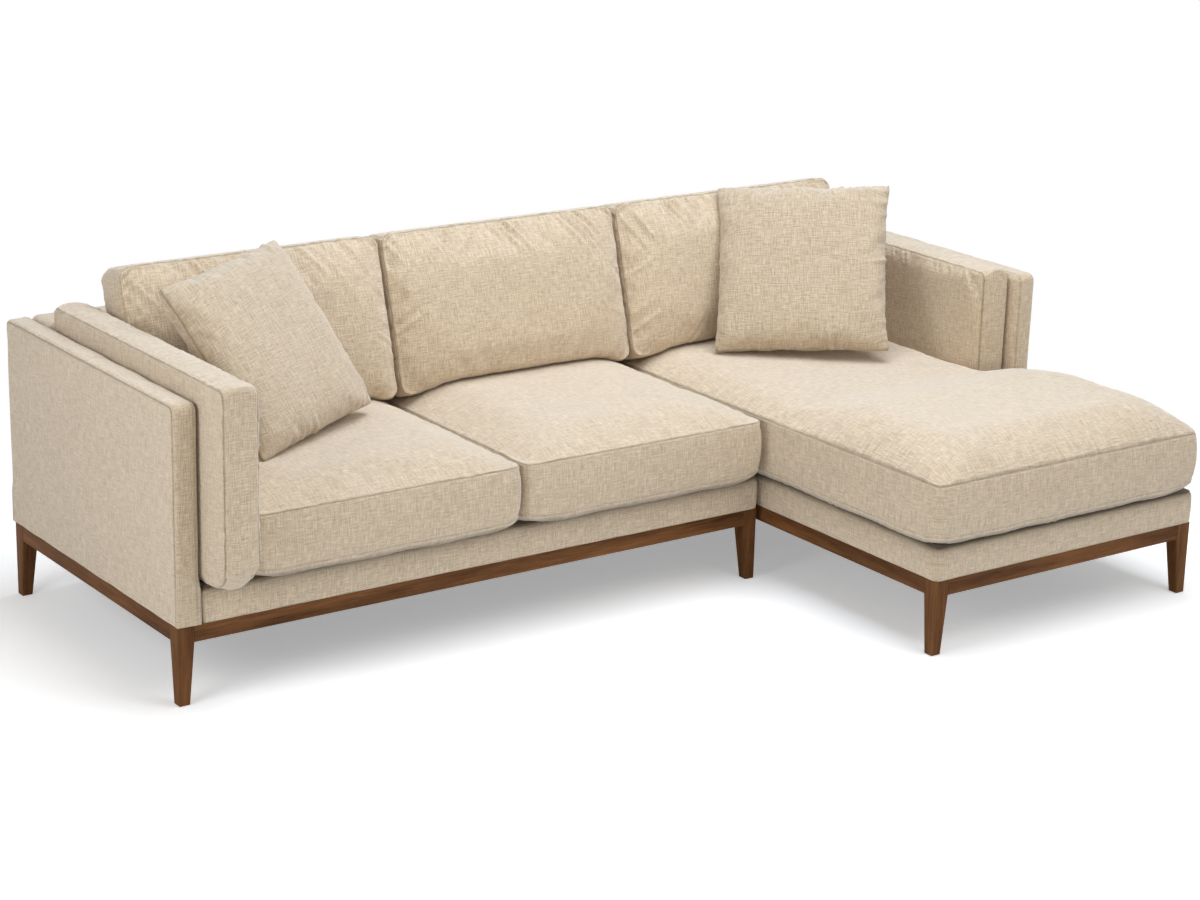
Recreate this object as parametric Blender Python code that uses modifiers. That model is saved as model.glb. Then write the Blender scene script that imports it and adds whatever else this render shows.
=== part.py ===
# Two-module corner sofa: a two-seat module with a left arm, and a chaise module with a right arm.
# Metres, +Z up, +X to the sitter's left as seen from the front, the front facing -Y.
# The origin lies on the floor under the middle of the sofa's bounding box.

import math

import bmesh
import bpy
from mathutils import Matrix, Vector
from mathutils.bvhtree import BVHTree

# Overall sizes
TOTAL_WIDTH = 2.600
MAIN_WIDTH = 1.695
MODULE_GAP = 0.010
MAIN_DEPTH = 0.905
CHAISE_REACH = 0.680
CHAISE_CUSHION_LEAD = 0.015
ARM_HEIGHT = 0.726

# Walnut legs and rails
LEG_HEIGHT = 0.152
RAIL_HEIGHT = 0.042
LEG_TOP = 0.042
LEG_FOOT = 0.028
LEG_SOFTENING = 0.002
PLINTH_INSET = 0.005
RAIL_SETBACK = 0.001
RAIL_THICK = 0.022
RAIL_SOFTENING = 0.0015
TENON_LENGTH = 0.016
TENON_THICK = 0.010
TENON_HEIGHT = 0.028
BLOCK_THICK = 0.027
BLOCK_HEIGHT = 0.034
JOINT_GAP = 0.0003

# Upholstered frame
BASE_HEIGHT = 0.088
BASE_THICK = 0.060
BASE_ROUND = 0.014
HIDDEN_RAIL_THICK = 0.040
DECK_THICK = 0.012
DECK_BEARING = 0.030
DUST_COVER_THICK = 0.002
ARM_THICK = 0.066
ARM_ROUND = 0.012
BACK_THICK = 0.125
CHAISE_ARM_LEAD = 0.040

# Elastic webbing
WEBBING_THICK = 0.0025
STRAP_WIDTH = 0.070
STRAP_PITCH = 0.155

# Connectors in the joint between the modules
PLATE_THICK = 0.002
PLATE_HEIGHT = 0.050
PLATE_WIDTH = 0.060
TONGUE_WIDTH = 0.030
TONGUE_HEIGHT = 0.034
TONGUE_STANDOFF = 0.0045
SOCKET_SHEET = 0.0015
SOCKET_HEIGHT = 0.024
SOCKET_WIDTH = 0.054
SOCKET_CLEARANCE = 0.0006
CONNECTOR_END_DISTANCE = 0.180
CONNECTOR_RISE = 0.018

# Seat and chaise cushions
CUSHION_GAP = 0.0003
SEAT_GAP = 0.005
SEAT_OVERHANG = 0.045
SEAT_RUN_END = 1.670
CHAISE_CUSHION_START = 1.685
SEAT_THICK = 0.214
SEAT_SEAM = 0.163
CHAISE_THICK = 0.215
CHAISE_SEAM = 0.160
CHAISE_NOTCH_GAP = 0.012
CHAISE_FRONT_RISE = 0.031
CHAISE_FRONT_RAMP = 0.100
CHAISE_RISE_LENGTH = 0.260
CROWN_RAMP = 0.160

# Arm pads
PAD_THICK = 0.105
PAD_GAP = 0.0035
PAD_LEFT_HEIGHT = 0.492
PAD_LEFT_LEAD = 0.105
PAD_RIGHT_HEIGHT = 0.458
PAD_RIGHT_SETBACK = 0.047
PAD_CROWN_INSIDE = 0.014
PAD_CROWN_OUTSIDE = 0.004
PAD_RAMP = 0.120
PAD_BEARING_CUT = 0.003

# Back cushions
BACK_CUSHION_HEIGHT = 0.434
BACK_CUSHION_BOXING = 0.150
BACK_CUSHION_CROWN = 0.048
BACK_CUSHION_LEAN = 15.5
BACK_CUSHION_RAMP = 0.160
BACK_CUSHION_GAP = 0.007
BACK_RUN_END = 1.650
BACK_BEARING_CUT = 0.070

# Scatter cushions
PILLOW_SIDE = 0.476
PILLOW_RIM = 0.022
PILLOW_CROWN = 0.066
PILLOW_FULLNESS = 0.7
PILLOW_DRAW = 0.012
PILLOW_SEAT_GAP = 0.005
PILLOW_LEFT_TURN = 24.0
PILLOW_LEFT_LEAN = 35.0
PILLOW_LEFT_ROLL = 4.5
PILLOW_LEFT_FROM_PAD = 0.290
PILLOW_RIGHT_TURN = -44.0
PILLOW_RIGHT_LEAN = 32.0
PILLOW_RIGHT_ROLL = 4.0
PILLOW_RIGHT_FROM_PAD = 0.320

# Soft forms
SOFT_GAP = 0.0007
APPROACH = 0.30
SETTLING_ROUNDS = 3
PROBE_STEP = 0.005
EDGE_CELL = 0.032
SIDE_BULGE = 0.006
SIDE_DRAW = 0.008
SEAM_CREASE = 0.65

# Places worked out from the sizes
LEFT_X = -TOTAL_WIDTH / 2
RIGHT_X = TOTAL_WIDTH / 2
MAIN_RIGHT_X = LEFT_X + MAIN_WIDTH
CHAISE_LEFT_X = MAIN_RIGHT_X + MODULE_GAP
BACK_Y = (MAIN_DEPTH + CHAISE_REACH + CHAISE_CUSHION_LEAD) / 2
MAIN_FRONT_Y = BACK_Y - MAIN_DEPTH
CHAISE_FRONT_Y = MAIN_FRONT_Y - CHAISE_REACH
CHAISE_ARM_FRONT_Y = MAIN_FRONT_Y - CHAISE_ARM_LEAD
BACK_FACE_Y = BACK_Y - BACK_THICK
RAIL_TOP_Z = LEG_HEIGHT + RAIL_HEIGHT
BASE_Z = RAIL_TOP_Z + JOINT_GAP
BASE_TOP_Z = RAIL_TOP_Z + BASE_HEIGHT
FRAME_TOP_Z = BASE_TOP_Z - DECK_THICK - WEBBING_THICK - 2 * JOINT_GAP
DECK_Z = BASE_TOP_Z - DECK_THICK
CUSHION_Z = BASE_TOP_Z + CUSHION_GAP
ARM_INNER_LEFT_X = LEFT_X + ARM_THICK
ARM_INNER_RIGHT_X = RIGHT_X - ARM_THICK
PAD_LEFT_X = ARM_INNER_LEFT_X + PAD_GAP
PAD_RIGHT_X = ARM_INNER_RIGHT_X - PAD_GAP - PAD_THICK


def clear_scene():
    for old in list(bpy.data.objects):
        bpy.data.objects.remove(old, do_unlink=True)


def new_collection(name):
    collection = bpy.data.collections.new(name)
    bpy.context.scene.collection.children.link(collection)
    return collection


def principled(name, color, roughness, metallic=0.0):
    material = bpy.data.materials.new(name)
    material.use_nodes = True
    shader = material.node_tree.nodes["Principled BSDF"]
    shader.inputs["Base Color"].default_value = (*color, 1.0)
    shader.inputs["Roughness"].default_value = roughness
    shader.inputs["Metallic"].default_value = metallic
    return material


clear_scene()
sofa = new_collection("corner_sofa")
cutters = new_collection("cutters")

linen = principled("oatmeal_linen", (0.62, 0.53, 0.41), 0.95)
walnut = principled("walnut", (0.16, 0.075, 0.035), 0.42)
frame_wood = principled("frame_pine", (0.60, 0.45, 0.27), 0.70)
webbing_black = principled("elastic_webbing", (0.05, 0.05, 0.05), 0.85)
deck_cloth = principled("deck_cloth", (0.50, 0.44, 0.36), 0.95)
dust_cloth = principled("dust_cloth", (0.03, 0.03, 0.03), 0.90)
zinc_steel = principled("zinc_steel", (0.55, 0.55, 0.56), 0.35, 1.0)


def add_object(name, data, material, collection=sofa):
    thing = bpy.data.objects.new(name, data)
    collection.objects.link(thing)
    if not data.materials:
        data.materials.append(material)
    return thing


def mesh_from(bm, name):
    bmesh.ops.recalc_face_normals(bm, faces=bm.faces)
    mesh = bpy.data.meshes.new(name)
    bm.to_mesh(mesh)
    bm.free()
    mesh.shade_smooth()
    mesh.set_sharp_from_angle(angle=math.radians(35))
    return mesh


def block_bmesh(low, high):
    bm = bmesh.new()
    bmesh.ops.create_cube(bm, size=1.0)
    size = Vector(high) - Vector(low)
    bmesh.ops.scale(bm, vec=size, verts=bm.verts)
    bmesh.ops.translate(bm, vec=(Vector(low) + Vector(high)) / 2, verts=bm.verts)
    return bm


def face_name(face):
    axis = max(range(3), key=lambda i: abs(face.normal[i]))
    return ("+" if face.normal[axis] > 0 else "-") + "xyz"[axis]


def round_edges(bm, pairs, radius, segments=3):
    """Rounds the box edges that lie between each named pair of faces, such as "-y+z"."""
    wanted = [frozenset((pair[:2], pair[2:])) for pair in pairs.split()]
    bm.normal_update()
    chosen = [e for e in bm.edges if frozenset(face_name(f) for f in e.link_faces) in wanted]
    bmesh.ops.bevel(
        bm, geom=chosen, offset=radius, offset_type="OFFSET", segments=segments, profile=0.5, affect="EDGES"
    )


def slab(name, low, high, material, pairs="", radius=0.0, segments=3, collection=sofa):
    bm = block_bmesh(low, high)
    if pairs:
        round_edges(bm, pairs, radius, segments)
    return add_object(name, mesh_from(bm, name), material, collection)


def cutter(name, low, high):
    tool = slab(name, low, high, frame_wood, collection=cutters)
    tool.hide_render = True
    tool.display_type = "WIRE"
    return tool


def join_or_cut(thing, tool, operation):
    modifier = thing.modifiers.new(tool.name, "BOOLEAN")
    modifier.operation = operation
    modifier.object = tool
    modifier.solver = "EXACT"


def bake(thing):
    """Replaces the object's mesh by the one that its modifiers make."""
    bpy.context.view_layer.update()
    graph = bpy.context.evaluated_depsgraph_get()
    baked = bpy.data.meshes.new_from_object(thing.evaluated_get(graph))
    thing.modifiers.clear()
    thing.data = baked
    return baked


# Legs: the two outer faces stand upright and the two inner faces taper to the foot

def leg_mesh():
    """A leg with its outer corner on the Z axis and its body towards +X and +Y."""
    bm = block_bmesh((0, 0, 0), (LEG_TOP, LEG_TOP, RAIL_TOP_Z))
    geometry = bm.verts[:] + bm.edges[:] + bm.faces[:]
    bmesh.ops.bisect_plane(bm, geom=geometry, plane_co=(0, 0, LEG_HEIGHT), plane_no=(0, 0, 1))
    foot = [v for v in bm.verts if v.co.z < LEG_HEIGHT / 2]
    for vert in foot:
        vert.co.x = min(vert.co.x, LEG_FOOT)
        vert.co.y = min(vert.co.y, LEG_FOOT)
    soft = [e for e in bm.edges if abs(e.verts[0].co.z - e.verts[1].co.z) > RAIL_HEIGHT / 2]
    soft += [e for e in bm.edges if e.verts[0] in foot and e.verts[1] in foot]
    bmesh.ops.bevel(
        bm, geom=soft, offset=LEG_SOFTENING, offset_type="OFFSET", segments=2, profile=0.5, affect="EDGES"
    )
    return mesh_from(bm, "walnut_leg")


TENON_MIDDLE = RAIL_SETBACK + RAIL_THICK / 2
TENON_Z = LEG_HEIGHT + RAIL_HEIGHT / 2


def mortise(name, along_x):
    """A blind mortise in one inner face of the leg, a joint gap wider than the tenon all round."""
    depth_low = LEG_TOP - TENON_LENGTH - JOINT_GAP
    depth_high = LEG_TOP + TENON_LENGTH
    half = TENON_THICK / 2 + JOINT_GAP
    z_low = TENON_Z - TENON_HEIGHT / 2 - JOINT_GAP
    z_high = TENON_Z + TENON_HEIGHT / 2 + JOINT_GAP
    low = (depth_low, TENON_MIDDLE - half, z_low)
    high = (depth_high, TENON_MIDDLE + half, z_high)
    if not along_x:
        low = (low[1], low[0], low[2])
        high = (high[1], high[0], high[2])
    return cutter(name, low, high)


def finished_leg():
    pattern = add_object("leg_pattern", leg_mesh(), walnut)
    join_or_cut(pattern, mortise("mortise_x", True), "DIFFERENCE")
    join_or_cut(pattern, mortise("mortise_y", False), "DIFFERENCE")
    mesh = bake(pattern)
    bpy.data.objects.remove(pattern, do_unlink=True)
    return mesh


def block_curve():
    """The glue block braces the corner behind the leg: a bar at 45 degrees with its ends cut to the rails."""
    rail_face = RAIL_SETBACK + RAIL_THICK + JOINT_GAP
    near = 2 * (LEG_TOP + JOINT_GAP) - rail_face
    far = near + BLOCK_THICK * math.sqrt(2)
    curve = bpy.data.curves.new("glue_block", "CURVE")
    curve.dimensions = "2D"
    curve.fill_mode = "BOTH"
    curve.extrude = BLOCK_HEIGHT / 2
    spline = curve.splines.new("POLY")
    outline = [(near, rail_face), (far, rail_face), (rail_face, far), (rail_face, near)]
    spline.points.add(len(outline) - 1)
    for point, (x, y) in zip(spline.points, outline):
        point.co = (x, y, 0.0, 1.0)
    spline.use_cyclic_u = True
    return curve


def rail(name, length, material=walnut):
    """A rail along +X from the origin, its outer face at y = 0, with a tenon on each end."""
    bm = block_bmesh((0, 0, LEG_HEIGHT), (length, RAIL_THICK, RAIL_TOP_Z))
    round_edges(bm, "-y+z -y-z +y+z +y-z", RAIL_SOFTENING, 2)
    thing = add_object(name, mesh_from(bm, name), material)
    middle = RAIL_THICK / 2
    tenon = cutter(
        name + "_tenon",
        (-TENON_LENGTH, middle - TENON_THICK / 2, TENON_Z - TENON_HEIGHT / 2),
        (length + TENON_LENGTH, middle + TENON_THICK / 2, TENON_Z + TENON_HEIGHT / 2),
    )
    join_or_cut(thing, tenon, "UNION")
    bake(thing)
    return thing


def place(thing, x, y, turn, z=0.0):
    thing.location = (x, y, z)
    thing.rotation_euler = (0, 0, math.radians(turn))


def plinth(prefix, x_low, x_high, y_low, y_high, leg_data, block_data):
    """Four legs, four rails tenoned into them and four glue blocks, inset from the module's outline."""
    left = x_low + PLINTH_INSET
    right = x_high - PLINTH_INSET
    front = y_low + PLINTH_INSET
    back = y_high - PLINTH_INSET
    corners = (
        ("front_left", left, front, 0),
        ("front_right", right, front, 90),
        ("back_right", right, back, 180),
        ("back_left", left, back, 270),
    )
    block_z = LEG_HEIGHT + RAIL_HEIGHT - DUST_COVER_THICK - 3 * JOINT_GAP - BLOCK_HEIGHT / 2
    for number, (corner, x, y, turn) in enumerate(corners, start=1):
        leg = add_object(f"{prefix}_leg_{corner}", leg_data, walnut)
        place(leg, x, y, turn)
        block = add_object(f"{prefix}_block_{number}", block_data, frame_wood)
        place(block, x, y, turn, block_z)
    start = LEG_TOP + JOINT_GAP
    across = right - left - 2 * start
    along = back - front - 2 * start
    place(rail(f"{prefix}_rail_front", across), left + start, front + RAIL_SETBACK, 0)
    place(rail(f"{prefix}_rail_right", along), right - RAIL_SETBACK, front + start, 90)
    place(rail(f"{prefix}_rail_back", across), right - start, back - RAIL_SETBACK, 180)
    place(rail(f"{prefix}_rail_left", along), left + RAIL_SETBACK, back - start, 270)
    rail_inside = RAIL_SETBACK + RAIL_THICK + JOINT_GAP
    cover_z = RAIL_TOP_Z - JOINT_GAP - DUST_COVER_THICK
    leg_clear = LEG_TOP + JOINT_GAP
    dust_cover(
        f"{prefix}_dust_cover",
        (left + rail_inside, front + rail_inside, cover_z),
        (right - rail_inside, back - rail_inside, cover_z + DUST_COVER_THICK),
        leg_clear - rail_inside + JOINT_GAP,
    )


def dust_cover(name, low, high, notch):
    """A thin cloth inside the rails, its corners cut off behind the legs."""
    bm = block_bmesh(low, high)
    upright = [e for e in bm.edges if abs(e.verts[0].co.z - e.verts[1].co.z) > DUST_COVER_THICK / 2]
    bmesh.ops.bevel(
        bm, geom=upright, offset=2 * notch, offset_type="OFFSET", segments=1, profile=0.5, affect="EDGES"
    )
    add_object(name, mesh_from(bm, name), dust_cloth)


# Seat frames: padded rails where they show, plain pine rails against the arms and backs

def webbing(name, low, high):
    """Straps both ways as one lattice, evenly pitched over the seat frame."""
    width = high[0] - low[0]
    depth = high[1] - low[1]

    def lines(length):
        straps = max(2, round(length / STRAP_PITCH) - 1)
        pitch = length / (straps + 1)
        stops = [0.0]
        for i in range(1, straps + 1):
            stops += [i * pitch - STRAP_WIDTH / 2, i * pitch + STRAP_WIDTH / 2]
        return stops + [length]

    xs = lines(width)
    ys = lines(depth)
    bm = bmesh.new()
    bmesh.ops.create_grid(bm, x_segments=len(xs) - 1, y_segments=len(ys) - 1, size=1.0)
    for vert in bm.verts:
        column = round((vert.co.x + 1) / 2 * (len(xs) - 1))
        row = round((vert.co.y + 1) / 2 * (len(ys) - 1))
        vert.co = (low[0] + xs[column], low[1] + ys[row], low[2])
    gaps = []
    for face in bm.faces:
        middle = face.calc_center_median()
        in_column = any(a < middle.x - low[0] < b for a, b in zip(xs[1:-1:2], xs[2:-1:2]))
        in_row = any(a < middle.y - low[1] < b for a, b in zip(ys[1:-1:2], ys[2:-1:2]))
        if not in_column and not in_row:
            gaps.append(face)
    bmesh.ops.delete(bm, geom=gaps, context="FACES")
    raised = bmesh.ops.extrude_face_region(bm, geom=bm.faces[:])
    top = [g for g in raised["geom"] if isinstance(g, bmesh.types.BMVert)]
    bmesh.ops.translate(bm, vec=(0, 0, WEBBING_THICK), verts=top)
    return add_object(name, mesh_from(bm, name), webbing_black)


def suspension(prefix, x_low, x_high, y_low, y_high):
    """Webbing on the frame rails and the deck pad over it, in the rebate of the padded rails."""
    webbing(f"{prefix}_webbing", (x_low, y_low, FRAME_TOP_Z + JOINT_GAP), (x_high, y_high, 0))
    slab(f"{prefix}_deck", (x_low, y_low, DECK_Z), (x_high, y_high, BASE_TOP_Z), deck_cloth)
    grow = JOINT_GAP
    return cutter(
        f"{prefix}_deck_rebate",
        (x_low - grow, y_low - grow, FRAME_TOP_Z),
        (x_high + grow, y_high + grow, BASE_TOP_Z + DECK_THICK),
    )


def padded_rail(name, low, high, pairs, rebate):
    thing = slab(name, low, high, linen, pairs, BASE_ROUND)
    join_or_cut(thing, rebate, "DIFFERENCE")
    bake(thing)


def main_seat_frame():
    inner_left = ARM_INNER_LEFT_X + JOINT_GAP
    rebate_edge = BASE_THICK - DECK_BEARING
    rebate = suspension(
        "main", inner_left, MAIN_RIGHT_X - rebate_edge, MAIN_FRONT_Y + rebate_edge, BACK_FACE_Y - JOINT_GAP
    )
    behind = MAIN_FRONT_Y + BASE_THICK + JOINT_GAP
    padded_rail(
        "main_base_front",
        (inner_left, MAIN_FRONT_Y, BASE_Z),
        (MAIN_RIGHT_X, MAIN_FRONT_Y + BASE_THICK, BASE_TOP_Z),
        "-y+z -y+x +x+z",
        rebate,
    )
    padded_rail(
        "main_base_right",
        (MAIN_RIGHT_X - BASE_THICK, behind, BASE_Z),
        (MAIN_RIGHT_X, BACK_FACE_Y - JOINT_GAP, BASE_TOP_Z),
        "+x+z",
        rebate,
    )
    slab(
        "main_base_left",
        (inner_left, behind, BASE_Z),
        (inner_left + HIDDEN_RAIL_THICK, BACK_FACE_Y - JOINT_GAP, FRAME_TOP_Z),
        frame_wood,
    )
    slab(
        "main_base_back",
        (inner_left + HIDDEN_RAIL_THICK + JOINT_GAP, BACK_FACE_Y - JOINT_GAP - HIDDEN_RAIL_THICK, BASE_Z),
        (MAIN_RIGHT_X - BASE_THICK - JOINT_GAP, BACK_FACE_Y - JOINT_GAP, FRAME_TOP_Z),
        frame_wood,
    )


def chaise_seat_frame():
    inner_right = ARM_INNER_RIGHT_X - JOINT_GAP
    rebate_edge = BASE_THICK - DECK_BEARING
    rebate = suspension(
        "chaise",
        CHAISE_LEFT_X + rebate_edge,
        inner_right,
        CHAISE_FRONT_Y + rebate_edge,
        BACK_FACE_Y - JOINT_GAP,
    )
    behind = CHAISE_FRONT_Y + BASE_THICK + JOINT_GAP
    padded_rail(
        "chaise_base_front",
        (CHAISE_LEFT_X, CHAISE_FRONT_Y, BASE_Z),
        (RIGHT_X, CHAISE_FRONT_Y + BASE_THICK, BASE_TOP_Z),
        "-y+z -y+x +x+z -y-x -x+z",
        rebate,
    )
    padded_rail(
        "chaise_base_left",
        (CHAISE_LEFT_X, behind, BASE_Z),
        (CHAISE_LEFT_X + BASE_THICK, BACK_FACE_Y - JOINT_GAP, BASE_TOP_Z),
        "-x+z",
        rebate,
    )
    padded_rail(
        "chaise_base_right",
        (ARM_INNER_RIGHT_X + JOINT_GAP, behind, BASE_Z),
        (RIGHT_X, CHAISE_ARM_FRONT_Y - JOINT_GAP, BASE_TOP_Z),
        "+x+z",
        rebate,
    )
    slab(
        "chaise_base_arm_side",
        (inner_right - HIDDEN_RAIL_THICK, behind, BASE_Z),
        (inner_right, BACK_FACE_Y - JOINT_GAP, FRAME_TOP_Z),
        frame_wood,
    )
    slab(
        "chaise_base_back",
        (CHAISE_LEFT_X + BASE_THICK + JOINT_GAP, BACK_FACE_Y - JOINT_GAP - HIDDEN_RAIL_THICK, BASE_Z),
        (inner_right - HIDDEN_RAIL_THICK - JOINT_GAP, BACK_FACE_Y - JOINT_GAP, FRAME_TOP_Z),
        frame_wood,
    )


# Arm and back panels stand on the walnut rails

def panels():
    arm_edges = "-x+z +x+z -y+z +y+z -x-y +x-y -x+y +x+y"
    slab(
        "arm_panel_left",
        (LEFT_X, MAIN_FRONT_Y, BASE_Z),
        (ARM_INNER_LEFT_X, BACK_Y, ARM_HEIGHT),
        linen,
        arm_edges,
        ARM_ROUND,
    )
    slab(
        "arm_panel_right",
        (ARM_INNER_RIGHT_X, CHAISE_ARM_FRONT_Y, BASE_Z),
        (RIGHT_X, BACK_Y, ARM_HEIGHT),
        linen,
        arm_edges,
        ARM_ROUND,
    )
    slab(
        "back_panel_main",
        (ARM_INNER_LEFT_X + JOINT_GAP, BACK_FACE_Y, BASE_Z),
        (MAIN_RIGHT_X, BACK_Y, ARM_HEIGHT),
        linen,
        "-y+z +y+z +x+z +x+y",
        ARM_ROUND,
    )
    slab(
        "back_panel_chaise",
        (CHAISE_LEFT_X, BACK_FACE_Y, BASE_Z),
        (ARM_INNER_RIGHT_X - JOINT_GAP, BACK_Y, ARM_HEIGHT),
        linen,
        "-y+z +y+z -x+z -x+y",
        ARM_ROUND,
    )


# Connectors: a tongue on the main module points up into a socket strap on the chaise

def flat_outline(name, outline, extrude, material):
    curve = bpy.data.curves.new(name, "CURVE")
    curve.dimensions = "2D"
    curve.fill_mode = "BOTH"
    curve.extrude = extrude / 2
    spline = curve.splines.new("POLY")
    spline.points.add(len(outline) - 1)
    for point, (x, y) in zip(spline.points, outline):
        point.co = (x, y, 0.0, 1.0)
    spline.use_cyclic_u = True
    return add_object(name, curve, material)


def hook(name, y):
    """Seen along Y: a plate on the main base, a foot across the joint and a tongue that points up."""
    foot = PLATE_THICK
    inner = PLATE_THICK + TONGUE_STANDOFF
    outer = inner - PLATE_THICK
    outline = [
        (0, 0),
        (inner, 0),
        (inner, TONGUE_HEIGHT),
        (outer, TONGUE_HEIGHT),
        (outer, foot),
        (PLATE_THICK, foot),
        (PLATE_THICK, PLATE_HEIGHT),
        (0, PLATE_HEIGHT),
    ]
    thing = flat_outline(name, outline, TONGUE_WIDTH, zinc_steel)
    thing.rotation_euler = (math.radians(90), 0, 0)
    thing.location = (MAIN_RIGHT_X + JOINT_GAP, y, BASE_Z + CONNECTOR_RISE - PLATE_THICK)


def socket(name, y):
    """Seen from above: a hat-shaped strap on the chaise base that passes between plate and tongue."""
    face = MODULE_GAP - JOINT_GAP
    front = PLATE_THICK + JOINT_GAP + (TONGUE_STANDOFF - PLATE_THICK - SOCKET_SHEET) / 2
    back = front + SOCKET_SHEET
    wall_inner = TONGUE_WIDTH / 2 + SOCKET_CLEARANCE
    wall_outer = wall_inner + SOCKET_SHEET
    half = SOCKET_WIDTH / 2
    side = [
        (face, half),
        (face - SOCKET_SHEET, half),
        (face - SOCKET_SHEET, wall_outer),
        (front, wall_outer),
    ]
    inside = [
        (back, wall_inner),
        (face, wall_inner),
    ]
    outline = side + [(x, -u) for x, u in reversed(side)] + [(x, -u) for x, u in reversed(inside)] + inside
    thing = flat_outline(name, outline, SOCKET_HEIGHT, zinc_steel)
    lift = BASE_Z + CONNECTOR_RISE + SOCKET_CLEARANCE + SOCKET_HEIGHT / 2
    thing.location = (MAIN_RIGHT_X, y, lift)


def connectors():
    front = MAIN_FRONT_Y + CONNECTOR_END_DISTANCE
    back = BACK_FACE_Y - CONNECTOR_END_DISTANCE
    hook("connector_hook_front", front)
    hook("connector_hook_back", back)
    socket("connector_socket_front", front)
    socket("connector_socket_back", back)


# Cushions: a coarse cage in plan, crowned inside its seams, with one level of subdivision

def ramp(distance, reach):
    """Rises from 0 at a seam to 1 at the given distance inside it."""
    t = min(max(distance / reach, 0.0), 1.0)
    return 1.0 - (1.0 - t) ** 2


def cage_lines(length, shoulder):
    """Cage lines close to both edges and at the shoulders of the crown."""
    return [0.0, EDGE_CELL, shoulder, length - shoulder, length - EDGE_CELL, length]


def cushion_cage(xs, ys, thick, crown_top, crown_base, reach, rows, draw, bulge, notch=None):
    """Plan from (0, 0) to the last lines of xs and ys, seams at z = 0 and z = thick.

    rows are the heights, as shares of the thickness, of the loops round the sides. A notch is the
    corner of the plan beyond (x, y) that is left out.
    """
    width = xs[-1]
    depth = ys[-1]
    bm = bmesh.new()
    bmesh.ops.create_grid(bm, x_segments=len(xs) - 1, y_segments=len(ys) - 1, size=1.0)
    for vert in bm.verts:
        column = round((vert.co.x + 1) / 2 * (len(xs) - 1))
        row = round((vert.co.y + 1) / 2 * (len(ys) - 1))
        vert.co = (xs[column], ys[row], 0.0)
    if notch:
        cut = [f for f in bm.faces if f.calc_center_median().x > notch[0] and f.calc_center_median().y > notch[1]]
        bmesh.ops.delete(bm, geom=cut, context="FACES")
    raised = bmesh.ops.extrude_face_region(bm, geom=bm.faces[:])
    top = [g for g in raised["geom"] if isinstance(g, bmesh.types.BMVert)]
    bmesh.ops.translate(bm, vec=(0, 0, thick), verts=top)
    for share in rows:
        geometry = bm.verts[:] + bm.edges[:] + bm.faces[:]
        bmesh.ops.bisect_plane(bm, geom=geometry, plane_co=(0, 0, share * thick), plane_no=(0, 0, 1))
    bmesh.ops.recalc_face_normals(bm, faces=bm.faces)

    crease = bm.edges.layers.float.new("crease_edge")
    corner_crease = bm.verts.layers.float.new("crease_vert")
    seam_heights = [0.0, thick] if crown_base > 0 else [rows[0] * thick, thick]
    for edge in bm.edges:
        flat = abs(edge.verts[0].co.z - edge.verts[1].co.z) < 1e-6
        at_seam = any(abs(edge.verts[0].co.z - z) < 1e-6 for z in seam_heights)
        beside_wall = any(abs(f.normal.z) < 0.5 for f in edge.link_faces)
        if flat and at_seam and beside_wall:
            edge[crease] = SEAM_CREASE
        in_notch_corner = notch and all(abs(v.co.x - notch[0]) + abs(v.co.y - notch[1]) < 1e-6 for v in edge.verts)
        if in_notch_corner:
            edge[crease] = 1.0
            for vert in edge.verts:
                vert[corner_crease] = 1.0

    for vert in bm.verts:
        x, y, z = vert.co
        u = 2 * x / width - 1
        v = 2 * y / depth - 1
        height = ramp(x, reach) * ramp(width - x, reach) * ramp(y, reach) * ramp(depth - y, reach)
        if notch:
            height *= ramp(math.hypot(min(x - notch[0], 0.0), min(y - notch[1], 0.0)), reach)
        share = z / thick
        out = bulge * 4 * share * (1 - share)
        if share < 1e-6 and crown_base <= 0:
            out = -2 * bulge
        vert.co.x += out * (abs(u) > 0.999) * math.copysign(1, u) - draw * u * (1 - v * v)
        vert.co.y += out * (abs(v) > 0.999) * math.copysign(1, v) - draw * v * (1 - u * u)
        if share > 0.999:
            vert.co.z += crown_top * height
        if share < 0.001:
            vert.co.z -= crown_base * height
    return bm


def soft_object(name, bm, material, size):
    """Subdivides the cage, and scales it so that the finished form has exactly the given size.

    The finished form's low corner is at the object's origin. A size of None keeps that side as made.
    """
    mesh = bpy.data.meshes.new(name)
    bm.to_mesh(mesh)
    bm.free()
    thing = add_object(name, mesh, material)
    soften = thing.modifiers.new("Subdivision", "SUBSURF")
    soften.levels = 1
    soften.render_levels = 1
    bake(thing)
    for axis in range(3):
        values = [v.co[axis] for v in thing.data.vertices]
        low = min(values)
        span = max(values) - low
        factor = (size[axis] or span) / span
        for vert in thing.data.vertices:
            vert.co[axis] = (vert.co[axis] - low) * factor
    thing.data.shade_smooth()
    return thing


def seat_cushion(name, x_low, x_high):
    depth = BACK_FACE_Y - CUSHION_GAP - (MAIN_FRONT_Y - SEAT_OVERHANG)
    width = x_high - x_low
    cage = cushion_cage(
        cage_lines(width, CROWN_RAMP),
        cage_lines(depth, CROWN_RAMP),
        SEAT_SEAM,
        SEAT_THICK - SEAT_SEAM,
        0.0,
        CROWN_RAMP,
        (0.12, 0.55),
        SIDE_DRAW,
        SIDE_BULGE,
    )
    thing = soft_object(name, cage, linen, (width, depth, SEAT_THICK))
    thing.location = (x_low, MAIN_FRONT_Y - SEAT_OVERHANG, CUSHION_Z)
    return thing


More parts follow.
